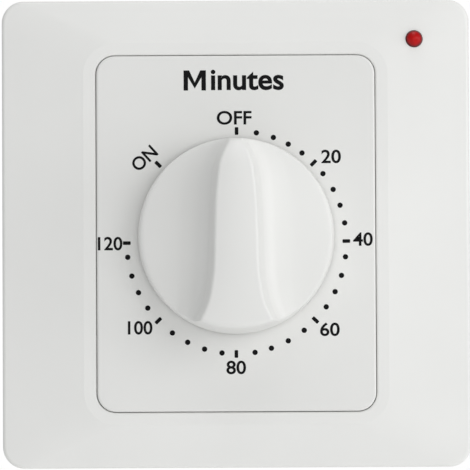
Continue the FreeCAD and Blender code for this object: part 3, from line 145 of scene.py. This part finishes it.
table_level = cad_box[0].z - TABLE_DROP
quarters = ((-1, -1), (1, -1), (1, 1), (-1, 1))
table_corners = [(x * TABLE_HALF, y * TABLE_HALF, table_level) for x, y in quarters]
table_top = bpy.data.meshes.new("table_top")
table_top.from_pydata(table_corners, [], [(0, 1, 2, 3)])
table = bpy.data.objects.new("table", table_top)
bpy.context.scene.collection.objects.link(table)
white_table, _, table_shader = finish_of("white_table", TABLE_WHITE, TABLE_ROUGH)
table_shader.inputs["Emission Color"].default_value = WALL_WHITE
table_shader.inputs["Emission Strength"].default_value = TABLE_GLOW
table_top.materials.append(white_table)

# The mounting frame: the plate under the cover, moulded in white urea and screwed to the wall
# box. Its back, rim and slots show from behind, and its front once the cover is off.
WHITE_UREA = (0.80, 0.80, 0.775)
CLOUD_WIDE, CLOUD_DARK, CLOUD_PALE = 22 * MM, 0.985, 1.012
GRAIN_RELIEF, GRAIN_STRENGTH = 0.004 * MM, 0.6
SHEEN_SMOOTHER, SHEEN_ROUGHER = 0.05, 0.07
PLASTIC_GLOSS = 0.4


def own_places(tree):
    """Where a point of a piece lies, in metres, for the patterns of its finish."""
    return tree.nodes.new("ShaderNodeTexCoord").outputs["Object"]


def speckle(tree, places, size, detail):
    """A noise whose patches are about a size across."""
    made = tree.nodes.new("ShaderNodeTexNoise")
    made.inputs["Scale"].default_value = 1 / size
    made.inputs["Detail"].default_value = detail
    tree.links.new(places, made.inputs["Vector"])
    return made.outputs["Fac"]


def toned(tree, value, stops):
    """Colours over a value, from (value, colour) stops: its two ends, then any between them."""
    made = tree.nodes.new("ShaderNodeValToRGB")
    ramp = made.color_ramp.elements
    for n, (at, colour) in enumerate(stops):
        stop = ramp[n] if n < 2 else ramp.new(at)
        stop.position, stop.color = at, (*colour, 1)
    tree.links.new(value, made.inputs["Fac"])
    return made.outputs["Color"]


def worn(tree, shader, value, smoothest, roughest, relief, strength):
    """Lets one pattern give the surface its uneven sheen and its fine relief."""
    sheen = tree.nodes.new("ShaderNodeMapRange")
    sheen.inputs["To Min"].default_value = smoothest
    sheen.inputs["To Max"].default_value = roughest
    bump = tree.nodes.new("ShaderNodeBump")
    bump.inputs["Distance"].default_value = relief
    bump.inputs["Strength"].default_value = strength
    tree.links.new(value, sheen.inputs["Value"])
    tree.links.new(sheen.outputs["Result"], shader.inputs["Roughness"])
    tree.links.new(value, bump.inputs["Height"])
    tree.links.new(bump.outputs["Normal"], shader.inputs["Normal"])


def moulded(name, colour, rough=0.42, grain=0.25 * MM):
    """Moulded plastic: a fine spark-eroded grain, a slow cloudy tone and an uneven sheen."""
    made, tree, shader = finish_of(name, colour, rough)
    places = own_places(tree)
    darker, paler = [c * CLOUD_DARK for c in colour], [c * CLOUD_PALE for c in colour]
    cloud = toned(tree, speckle(tree, places, CLOUD_WIDE, 3), ((0.3, darker), (0.7, paler)))
    tree.links.new(cloud, shader.inputs["Base Color"])
    dimples = speckle(tree, places, grain, 4)
    worn(tree, shader, dimples, rough - SHEEN_SMOOTHER, rough + SHEEN_ROUGHER, GRAIN_RELIEF, GRAIN_STRENGTH)
    shader.inputs["Specular IOR Level"].default_value = PLASTIC_GLOSS
    return made


def dress(material, *names):
    """Gives carried-over pieces their finish."""
    for name in names:
        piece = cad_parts[name]
        if not piece.material_slots:
            piece.data.materials.append(material)
        for place in piece.material_slots:
            place.material = material


dress(moulded("frame_urea", WHITE_UREA, rough=0.5), "mounting_frame")

# The movement's plates and pillars: stamped and turned brass, screwed together with zinc-plated
# pan-head screws.
BRASS = (0.78, 0.57, 0.27)
ZINC = (0.62, 0.64, 0.66)
STAIN_WIDE, STAIN_DARK, STAIN_PALE = 7 * MM, 0.82, 1.06
MARK_SHEEN, MARK_RELIEF, MARK_STRENGTH = 0.12, 0.002 * MM, 0.5


def metal(name, colour, rough, marks=(60, 60, 60)):
    """Bare or plated metal, faintly stained, with so many drawn marks in a centimetre each way."""
    made, tree, shader = finish_of(name, colour, rough, metallic=1.0)
    places = own_places(tree)
    darker, paler = [c * STAIN_DARK for c in colour], [c * STAIN_PALE for c in colour]
    stain = toned(tree, speckle(tree, places, STAIN_WIDE, 4), ((0.35, darker), (0.75, paler)))
    tree.links.new(stain, shader.inputs["Base Color"])
    stretch = tree.nodes.new("ShaderNodeMapping")
    stretch.inputs["Scale"].default_value = [count / (10 * MM) for count in marks]
    tree.links.new(places, stretch.inputs["Vector"])
    lines = speckle(tree, stretch.outputs["Vector"], 1.0, 5)
    worn(tree, shader, lines, rough - MARK_SHEEN, rough + MARK_SHEEN, MARK_RELIEF, MARK_STRENGTH)
    return made


zinc_plate = metal("zinc_plate", ZINC, 0.33)
dress(metal("plate_brass", BRASS, 0.32, marks=(4, 60, 60)), "front_plate", "back_plate", "pillars")
dress(zinc_plate, "back_plate_screws", "front_plate_screws", "movement_screws")

# The wound shaft: turned steel with the coiled blue-grey mainspring, the great wheel pressed on
# by a dished washer, and a flat retaining clip.
shaft_steel = metal("shaft_steel", (0.56, 0.56, 0.57), 0.25, marks=(60, 4, 60))
spring_steel = metal("spring_steel", (0.30, 0.32, 0.37), 0.3, marks=(60, 6, 60))
wheel_brass = metal("wheel_brass", (0.80, 0.60, 0.30), 0.26)
dress(shaft_steel, "main_shaft")
dress(wheel_brass, "great_wheel")
dress(spring_steel, "mainspring", "shaft_clip", "clutch_washer")

# The train: two more brass wheels on steel arbors, with the pinions cut in them, and the escape
# wheel; then the steel anchor and its brass inertia bar.
dress(shaft_steel, "second_pinion", "third_pinion", "escape_pinion", "anchor_arbor")
dress(wheel_brass, "second_wheel", "third_wheel", "escape_wheel", "inertia_bar")
dress(metal("anchor_steel", (0.48, 0.48, 0.50), 0.3), "anchor")

# The switch: a natural acetal cam, a rolled bronze leaf with silver contacts, and the three
# stamped brass strips that come out in the terminal bays.
dress(moulded("acetal", (0.76, 0.75, 0.70), rough=0.35), "switch_cam")
dress(metal("leaf_bronze", (0.66, 0.42, 0.24), 0.28, marks=(5, 60, 60)), "moving_leaf")
dress(metal("contact_silver", (0.80, 0.79, 0.76), 0.3), "moving_contact", "fixed_contact")
strip_brass = metal("strip_brass", (0.76, 0.58, 0.30), 0.28, marks=(60, 60, 5))
dress(strip_brass, "load_strip", "live_strip", "neutral_strip", "leaf_rivet")

# The rear housing: a deep box moulded in white polycarbonate that sits in the wall box, held to
# the mounting frame by two zinc-plated screws through its side ears.
dress(moulded("housing_white", (0.77, 0.77, 0.75), rough=0.46, grain=0.4 * MM), "rear_housing")
dress(zinc_plate, "housing_screws")

# The terminal block: three open bays in the same white plastic, with nickel-plated clamp screws
# on square zinc-plated washers.
dress(moulded("block_white", (0.76, 0.76, 0.74), rough=0.44, grain=0.3 * MM), "terminal_block")
dress(metal("nickel", (0.72, 0.69, 0.62), 0.22), "terminal_screws")
dress(metal("washer_zinc", (0.66, 0.67, 0.68), 0.35), "clamp_washers")
dress(zinc_plate, "block_screws")

# The light's board: paper laminate under the cover frame, with the dropper resistor and the diode
# soldered on beside the lamp.
dress(moulded("laminate", (0.42, 0.29, 0.13), rough=0.5), "led_board")
dress(moulded("resistor_lacquer", (0.62, 0.47, 0.28), rough=0.3), "led_resistor")
dress(moulded("diode_body", (0.02, 0.02, 0.02), rough=0.3), "led_diode")

# The lamp: a domed body cast in clear red epoxy on a round flange, which looks out through a hole
# at the cover's upper right. Painted shade darkens its red towards its side; the epoxy is a little cloudy.
LAMP_ACROSS, LAMP_UP = 32.9 * MM, 35.65 * MM
LAMP_RADIUS, FLANGE_RADIUS, FLANGE_DEEP = 1.56 * MM, 1.9 * MM, 0.9 * MM
LAMP_TIP, LAMP_FOOT = -9.55 * MM, -3.7 * MM
# Painted light on the lamp: a lit red at its middle, and a red painted dark with shade at its side.
LAMP_RED, LIT_HEART_RED = (0.5, 0.004, 0.006), (0.6, 0.006, 0.006)
BODY_RED, SHADED_SIDE_RED, BODY_REACH = (0.52, 0.005, 0.007), (0.07, 0.002, 0.006), 0.68
LAMP_ROUGH, LAMP_GLOSS, LAMP_COAT, COAT_ROUGH = 0.3, 0.08, 0.2, 0.28
CLOUDED, EPOXY_CLOUD = 0.35, 0.8 * MM
DOME_RINGS, ROUND_STEPS = 10, 48
LAMP_CREASE = 35

red_epoxy, tree, shader = finish_of("red_epoxy", LAMP_RED, LAMP_ROUGH)
shader.inputs["Specular IOR Level"].default_value = LAMP_GLOSS
shader.inputs["Coat Weight"].default_value = LAMP_COAT
shader.inputs["Coat Roughness"].default_value = COAT_ROUGH
from_axis = tree.nodes.new("ShaderNodeMapping")
from_axis.inputs["Location"].default_value = (-LAMP_ACROSS / LAMP_RADIUS, 0, -LAMP_UP / LAMP_RADIUS)
from_axis.inputs["Scale"].default_value = (1 / LAMP_RADIUS, 0, 1 / LAMP_RADIUS)
reach = tree.nodes.new("ShaderNodeVectorMath")
reach.operation = "LENGTH"
clouding = tree.nodes.new("ShaderNodeMix")
clouding.data_type = "RGBA"
clouding.blend_type = "MULTIPLY"
clouding.inputs["Factor"].default_value = CLOUDED
places = own_places(tree)
tree.links.new(places, from_axis.inputs["Vector"])
tree.links.new(from_axis.outputs["Vector"], reach.inputs[0])
# Painted shade: the red goes from a lit middle to a shaded side, by the distance from the lamp's axis.
painted_dome_shade = toned(tree, reach.outputs["Value"], ((0.0, LIT_HEART_RED), (1.0, SHADED_SIDE_RED), (BODY_REACH, BODY_RED)))
tree.links.new(painted_dome_shade, clouding.inputs["A"])
tree.links.new(speckle(tree, places, EPOXY_CLOUD, 2), clouding.inputs["B"])
tree.links.new(clouding.outputs["Result"], shader.inputs["Base Color"])


def piece_of(shape, name, material):
    """Makes a closed shape into a piece in one material, with its faces turned outwards."""
    bmesh.ops.recalc_face_normals(shape, faces=shape.faces[:])
    mesh = bpy.data.meshes.new(name)
    shape.to_mesh(mesh)
    shape.free()
    mesh.materials.append(material)
    piece = bpy.data.objects.new(name, mesh)
    bpy.context.scene.collection.objects.link(piece)
    return piece


def smooth(piece, crease):
    """Shades a piece smooth, except over edges that turn by more than so many degrees."""
    for face in piece.data.polygons:
        face.use_smooth = True
    piece.data.set_sharp_from_angle(angle=math.radians(crease))


outline = [(0.0, LAMP_FOOT), (FLANGE_RADIUS, LAMP_FOOT), (FLANGE_RADIUS, LAMP_FOOT - FLANGE_DEEP)]
outline.append((LAMP_RADIUS, LAMP_FOOT - FLANGE_DEEP))
for n in range(DOME_RINGS):
    turn = math.radians(90 * n / DOME_RINGS)
    outline.append((LAMP_RADIUS * math.cos(turn), LAMP_TIP + LAMP_RADIUS * (1 - math.sin(turn))))
outline.append((0.0, LAMP_TIP))
lamp_shape = bmesh.new()
rings = []
for radius, y in outline:
    turns = [2 * math.pi * n / ROUND_STEPS for n in range(ROUND_STEPS if radius else 1)]
    ring = [(LAMP_ACROSS + radius * math.cos(t), y, LAMP_UP + radius * math.sin(t)) for t in turns]
    rings.append([lamp_shape.verts.new(place) for place in ring])
for first, second in zip(rings, rings[1:]):
    for n in range(ROUND_STEPS):
        corners = [first[n % len(first)], first[(n + 1) % len(first)]]
        corners += [second[(n + 1) % len(second)], second[n % len(second)]]
        lamp_shape.faces.new(list(dict.fromkeys(corners)))
lamp = piece_of(lamp_shape, "lamp_lens", red_epoxy)
smooth(lamp, LAMP_CREASE)
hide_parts("indicator_led")
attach(lamp, "base")

# The dial panel: the inner white moulding, held by four snap tongues. Black ink on it gives the
# scale round the knob: a tick every 20 minutes, four dots between ticks, the numbers outside
# them, and a bold legend above.
CLEAR_WHITE = (0.815, 0.815, 0.795)
INK_BLACK, INK_DARK, INK_PALE = (0.004, 0.004, 0.0045), (0.002, 0.002, 0.0025), (0.008, 0.008, 0.009)
INK_ROUGH, INK_GLOSS, INK_SPECK, INK_THICK = 0.7, 0.12, 0.18 * MM, 0.02 * MM
SCALE_RIGHT, SCALE_DROP = 0.08 * MM, 1.68 * MM
SCALE_WIDE, SCALE_HIGH = 20.13 * MM, 20.45 * MM
TICK_LONG, TICK_WIDE = 1.42 * MM, 0.66 * MM
TICK_OUTLINE = ((-1, -0.7), (-1, 0.7), (-0.85, 1), (0.85, 1), (1, 0.7), (1, -0.7), (0.85, -1), (-0.85, -1))
TICK_DEGREES = (-45.3, 0.3, 44.8, 89.6, 134.4, 180.4, 225.7, 269.9)
DOT_ACROSS, DOT_STEPS = 0.99 * MM, 24
DOT_DEGREES = (10.7, 19.9, 28.4, 36.9, 52.2, 61.9, 70.8, 80.2, 97.7, 107.5, 116.5, 125.6)
DOT_DEGREES += (142.3, 152.2, 161.8, 170.6, 187.9, 197.2, 206.7, 216.0, 234.2, 243.5, 252.7, 262.6)

dress(moulded("panel_white", CLEAR_WHITE), "dial_panel")
panel_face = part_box("dial_panel")[0].y

ink, tree, shader = finish_of("black_ink", INK_BLACK, INK_ROUGH)
shader.inputs["Specular IOR Level"].default_value = INK_GLOSS
specks = speckle(tree, own_places(tree), INK_SPECK, 3)
tree.links.new(toned(tree, specks, ((0.0, INK_DARK), (1.0, INK_PALE))), shader.inputs["Base Color"])


def on_dial(degrees):
    """A place on the printed scale, clockwise from its top; it is a little taller than wide."""
    turn = math.radians(degrees)
    return SCALE_RIGHT + SCALE_WIDE * math.sin(turn), -SCALE_DROP + SCALE_HIGH * math.cos(turn)


def turned(x, z, degrees):
    """A place turned clockwise about the origin."""
    turn = math.radians(degrees)
    return x * math.cos(turn) + z * math.sin(turn), z * math.cos(turn) - x * math.sin(turn)


def printed(shape, name):
    """Makes a shape a piece of print on the panel, which stays on the base."""
    piece = piece_of(shape, name, ink)
    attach(piece, "base")


def inked(name, patches):
    """Prints patches, each an outline of (x, z) corners, a hair over the panel's face."""
    shape = bmesh.new()
    for patch in patches:
        top = [shape.verts.new((x, panel_face - INK_THICK, z)) for x, z in patch]
        foot = [shape.verts.new((x, panel_face + INK_THICK, z)) for x, z in patch]
        shape.faces.new(top)
        for n in range(len(top)):
            m = (n + 1) % len(top)
            shape.faces.new((top[n], foot[n], foot[m], top[m]))
    printed(shape, name)


ticks = []
for degrees in TICK_DEGREES:
    x, z = on_dial(degrees)
    corners = [turned(aside * TICK_WIDE / 2, out * TICK_LONG / 2, degrees) for out, aside in TICK_OUTLINE]
    ticks.append([(x + dx, z + dz) for dx, dz in corners])
inked("dial_ticks", ticks)

dots = []
dot_turns = [2 * math.pi * n / DOT_STEPS for n in range(DOT_STEPS)]
for degrees in DOT_DEGREES:
    x, z = on_dial(degrees)
    dots.append([(x + DOT_ACROSS / 2 * math.cos(t), z + DOT_ACROSS / 2 * math.sin(t)) for t in dot_turns])
inked("dial_dots", dots)

DIGIT_WEIGHT, LEGEND_WEIGHT, CURVE_STEPS = 0.018, 0.022, 6


def lettered(name, words, heavy):
    """Prints words in plain sans type: (text, centre x and z, width, cap height, tilt in degrees)."""
    shape = bmesh.new()
    for text, x, z, wide, high, degrees in words:
        type_set = bpy.data.curves.new(name, "FONT")
        type_set.body = text
        type_set.offset = heavy
        type_set.resolution_u = CURVE_STEPS
        writer = bpy.data.objects.new(name, type_set)
        bpy.context.scene.collection.objects.link(writer)
        drawn = bpy.data.meshes.new_from_object(writer.evaluated_get(bpy.context.evaluated_depsgraph_get()))
        bpy.data.objects.remove(writer)
        points = np.array([v.co[:2] for v in drawn.vertices])
        low, top = points.min(0), points.max(0)
        points = (points - (low + top) / 2) * np.array([wide, high]) / (top - low)
        first = len(shape.verts)
        for px, pz in points:
            dx, dz = turned(px, pz, -degrees)
            shape.verts.new((x + dx, panel_face - INK_THICK, z + dz))
        shape.verts.ensure_lookup_table()
        for face in drawn.polygons:
            shape.faces.new([shape.verts[first + n] for n in face.vertices])
        bpy.data.meshes.remove(drawn)
    for face in shape.faces:
        face.normal_update()
        if face.normal.y > 0:
            face.normal_flip()
    thickened = bmesh.ops.extrude_face_region(shape, geom=shape.faces[:])
    for moved in thickened["geom"]:
        if isinstance(moved, bmesh.types.BMVert):
            moved.co.y = panel_face + INK_THICK
    printed(shape, name)


TWO_WIDE, THREE_WIDE, DIGIT_HIGH = 3.6 * MM, 4.5 * MM, 2.5 * MM
numbers = (
    ("20", 17.5 * MM, 14.0 * MM, TWO_WIDE, DIGIT_HIGH, 0),
    ("40", 23.25 * MM, -1.2 * MM, TWO_WIDE, DIGIT_HIGH, 0),
    ("60", 17.1 * MM, -17.7 * MM, TWO_WIDE, DIGIT_HIGH, 0),
    ("80", -0.1 * MM, -24.6 * MM, TWO_WIDE, DIGIT_HIGH, 0),
    ("100", -17.66 * MM, -17.25 * MM, THREE_WIDE, DIGIT_HIGH, 0),
    ("120", -23.1 * MM, -1.8 * MM, THREE_WIDE, DIGIT_HIGH, 0),
)
switch_words = (
    ("OFF", -0.25 * MM, 21.2 * MM, 6.4 * MM, 2.55 * MM, 0),
    ("ON", -16.8 * MM, 13.8 * MM, 5.0 * MM, 2.5 * MM, 42),
)
lettered("dial_numbers", numbers, DIGIT_WEIGHT)
lettered("dial_switch_words", switch_words, DIGIT_WEIGHT)

LEGEND_HIGH, LEGEND_LEVEL, LEGEND_START = 3.7 * MM, 28.1 * MM, -9.5 * MM
STEM, CAPITAL_WIDE = 0.82 * MM, 4.1 * MM
stem = STEM / CAPITAL_WIDE
capital_left = [(0, 0), (0, 1), (1.25 * stem, 1), (0.5, 0.4)]
capital_right = [(1 - x, z) for x, z in capital_left[-2::-1]]
capital_under = [(1 - stem, 0), (1 - stem, 0.66), (0.5, 0.1), (stem, 0.66), (stem, 0)]
capital = []
for x, z in capital_left + capital_right + capital_under:
    capital.append((LEGEND_START + x * CAPITAL_WIDE, LEGEND_LEVEL + (z - 0.5) * LEGEND_HIGH))
inked("dial_legend_m", [capital])
legend = ("inutes", 2.2 * MM, LEGEND_LEVEL + 0.05 * MM, 13.4 * MM, 3.8 * MM, 0)
lettered("dial_legend", [legend], LEGEND_WEIGHT)

# The cover: the square frame with gently sloped sides, moulded in the same white, painted a shade
# paler than the panel as painted light. Four beads inside it catch under the mounting frame.
# Painted light: the cover's white is made paler to stand in for light that its slopes catch.
COVER_PAINTED_PALER = 1.045
dress(moulded("cover_white", [c * COVER_PAINTED_PALER for c in CLEAR_WHITE]), "cover_frame")

# The knob: one white moulding. A low domed disc carries a tall grip bar whose narrow nose points
# at the scale and whose tail flares out to the rim; a split hub takes the shaft. All its sizes are
# in millimetres, across from its axis and up from the panel's face.
KNOB_DROP = 0.5 * MM
FOOT_RADIUS, FOOT_GAP, DRAFT = 17.98, 0.5, 0.06
RIM_HIGH, DOME, EDGE_ROUND = 5.9, 1.8, 0.8
CREST_ROUND, CREST_CROWN, GRIP_LEAN, FOOT_FILLET = 0.7, 0.35, 1.3, 3.5
# Stations along the grip from its tail to its nose, with its half width and its height at each.
STATIONS = np.array((-18.2, -15.4, -12.7, -8.65, 0.0, 8.0, 13.0, 17.4))
HALF_WIDE = np.array((8.2, 6.6, 5.35, 4.5, 4.05, 3.7, 3.0, 1.2))
CREST_HIGH = np.array((14.7, 15.5, 15.8, 15.9, 16.0, 15.9, 15.5, 12.3))
CREST_SHARES, WALL_SHARES = (0, 0.25, 0.5, 0.75, 1), (0.2, 0.4, 0.6, 0.8, 1.0)
ROUND_TURNS = np.radians((15, 30, 45, 60, 75, 90))


def flowing(values, at):
    """A smooth run through the grip's stations, read at a place along it."""
    at = np.clip(at, STATIONS[0], STATIONS[-1])
    slopes = np.gradient(values, STATIONS)
    n = np.clip(np.searchsorted(STATIONS, at) - 1, 0, len(STATIONS) - 2)
    step = STATIONS[n + 1] - STATIONS[n]
    t = (at - STATIONS[n]) / step
    slope_in, slope_out = slopes[n] * step, slopes[n + 1] * step
    held = (2 * t**3 - 3 * t**2 + 1) * values[n] + (3 * t**2 - 2 * t**3) * values[n + 1]
    return float(held + (t**3 - 2 * t**2 + t) * slope_in + (t**3 - t**2) * slope_out)


def side_wall(height):
    """The radius of the knob's drafted side wall at a height."""
    return FOOT_RADIUS - DRAFT * (height - FOOT_GAP)


def disc_level(out):
    """The height of the disc's gently domed face at a distance from the knob's axis."""
    return RIM_HIGH + DOME * max(0.0, 1 - (out / FOOT_RADIUS) ** 2)


def across_grip(z):
    """Half a cross-section of the grip at a place along it: (x, height) from crest to foot."""
    half, top = flowing(HALF_WIDE, z), flowing(CREST_HIGH, z)
    flat = half - CREST_ROUND
    brow = top - CREST_CROWN * (flat / half) ** 2
    floor = disc_level(math.hypot(half, z))
    wall_top, wall_foot = brow - CREST_ROUND, floor + FOOT_FILLET
    lean = GRIP_LEAN * (wall_top - wall_foot) / (wall_top - floor)
    crest = [(flat * t, top - CREST_CROWN * (flat * t / half) ** 2) for t in CREST_SHARES]
    for t in ROUND_TURNS:
        crest.append((flat + CREST_ROUND * math.sin(t), brow - CREST_ROUND * (1 - math.cos(t))))
    wall = [(half + lean * t, wall_top + (wall_foot - wall_top) * t) for t in WALL_SHARES]
    for t in ROUND_TURNS:
        wall.append((half + lean + FOOT_FILLET * (1 - math.cos(t)), wall_foot - FOOT_FILLET * math.sin(t)))
    return crest + wall


def pressed(u, v, radius):
    """A place (u, v) of a square from -1 to 1, pressed into a disc: its rows cross the grip."""
    return u * radius * math.sqrt(1 - v * v / 2), v * radius * math.sqrt(1 - u * u / 2)


def eased(u, v, radius, height):
    """A height of the disc's face, let down near the disc's edge to round it."""
    inside = EDGE_ROUND - (1 - max(abs(u), abs(v))) * radius
    return height if inside <= 0 else height - EDGE_ROUND + math.sqrt(EDGE_ROUND**2 - inside**2)


# Its face is laid out in rows across the grip, closer together towards the disc's edge. Each row
# starts with the grip's section, and runs from the grip's foot outwards over the disc. A place on
# the grip and the disc's radius at its height depend on each other, so they settle in a few turns.
EDGE_STEPS = np.array((0.0, 0.03, 0.12, 0.27, 0.48, 0.75, 1.1, 1.7, 2.6)) / FOOT_RADIUS
OUTWARD = (0.14, 0.3, 0.48, 0.64, 0.78, 0.88, 0.935, 0.958, 0.973, 0.985, 0.993, 0.998, 1.0)
MIDDLE, MIDDLE_ROWS = 0.8, 33
SETTLING = 6
face_rows = []
for v in (*(-1 + EDGE_STEPS), *np.linspace(-MIDDLE, MIDDLE, MIDDLE_ROWS), *(1 - EDGE_STEPS)[::-1]):
    row = []
    for n in range(len(across_grip(0))):
        z = v * FOOT_RADIUS
        for _ in range(SETTLING):
            x, height = across_grip(z)[n]
            radius = side_wall(height - EDGE_ROUND)
            u = min(1.0, x / pressed(1, v, radius)[0])
            x, z = pressed(u, v, radius)
        row.append((x, z, eased(u, v, radius, height)))
    radius = side_wall(RIM_HIGH - EDGE_ROUND)
    for share in OUTWARD:
        out_u = u + (1 - u) * share
        x, z = pressed(out_u, v, radius)
        row.append((x, z, eased(out_u, v, radius, disc_level(math.hypot(x, z)))))
    face_rows.append([(-x, z, height) for x, z, height in row[:0:-1]] + row)
knob_shape = bmesh.new()


def knob_point(x, z, height):
    """A vertex of the knob."""
    return knob_shape.verts.new((x * MM, panel_face - height * MM, z * MM - KNOB_DROP))


def once_round(rows):
    """What stands at the ends of the rows, once round."""
    right, left = [row[-1] for row in rows[1:]], [row[0] for row in rows[-2:0:-1]]
    return rows[0] + right + rows[-1][-2::-1] + left


def next_ring(last, places):
    """Joins a new ring of places to the last one, and gives it back."""
    ring = [knob_point(*place) for place in places]
    for n in range(len(ring)):
        m = (n + 1) % len(ring)
        knob_shape.faces.new((last[n], last[m], ring[m], ring[n]))
    return ring


skin = [[knob_point(*place) for place in row] for row in face_rows]
for row, above in zip(skin, skin[1:]):
    for n in range(len(row) - 1):
        knob_shape.faces.new((row[n], row[n + 1], above[n + 1], above[n]))
ring, edge = once_round(skin), once_round(face_rows)
DOWNWARD = (0.12, 0.3, 0.5, 0.7, 0.85, 0.97, 1.0)
for share in DOWNWARD:
    lower = []
    for x, z, height in edge:
        down = height + (FOOT_GAP - height) * share
        grown = side_wall(down) / side_wall(height)
        lower.append((x * grown, z * grown, down))
    ring = next_ring(ring, lower)
KNOB_WALL, INNER_DRAFT = 1.8, 0.3
HUB_RADIUS, HUB_BORE, HUB_END = 5.3, 3.04, -3.2
inner_rings = (
    (FOOT_RADIUS - KNOB_WALL, FOOT_GAP),
    (FOOT_RADIUS - KNOB_WALL - INNER_DRAFT, RIM_HIGH - KNOB_WALL),
    (HUB_RADIUS, RIM_HIGH - KNOB_WALL),
    (HUB_RADIUS, HUB_END),
    (HUB_BORE, HUB_END),
    (HUB_BORE, RIM_HIGH),
)
bearings = [math.atan2(z, x) for x, z, _ in edge]
for radius, height in inner_rings:
    ring = next_ring(ring, [(radius * math.cos(t), radius * math.sin(t), height) for t in bearings])
knob_shape.faces.new(ring)
WELD, KNOB_CREASE = 0.002 * MM, 38
bmesh.ops.remove_doubles(knob_shape, verts=knob_shape.verts[:], dist=WELD)
knob = piece_of(knob_shape, "knob_moulding", moulded("knob_white", CLEAR_WHITE))
smooth(knob, KNOB_CREASE)
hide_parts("knob")
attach(knob, "knob")
dress(spring_steel, "knob_clip")
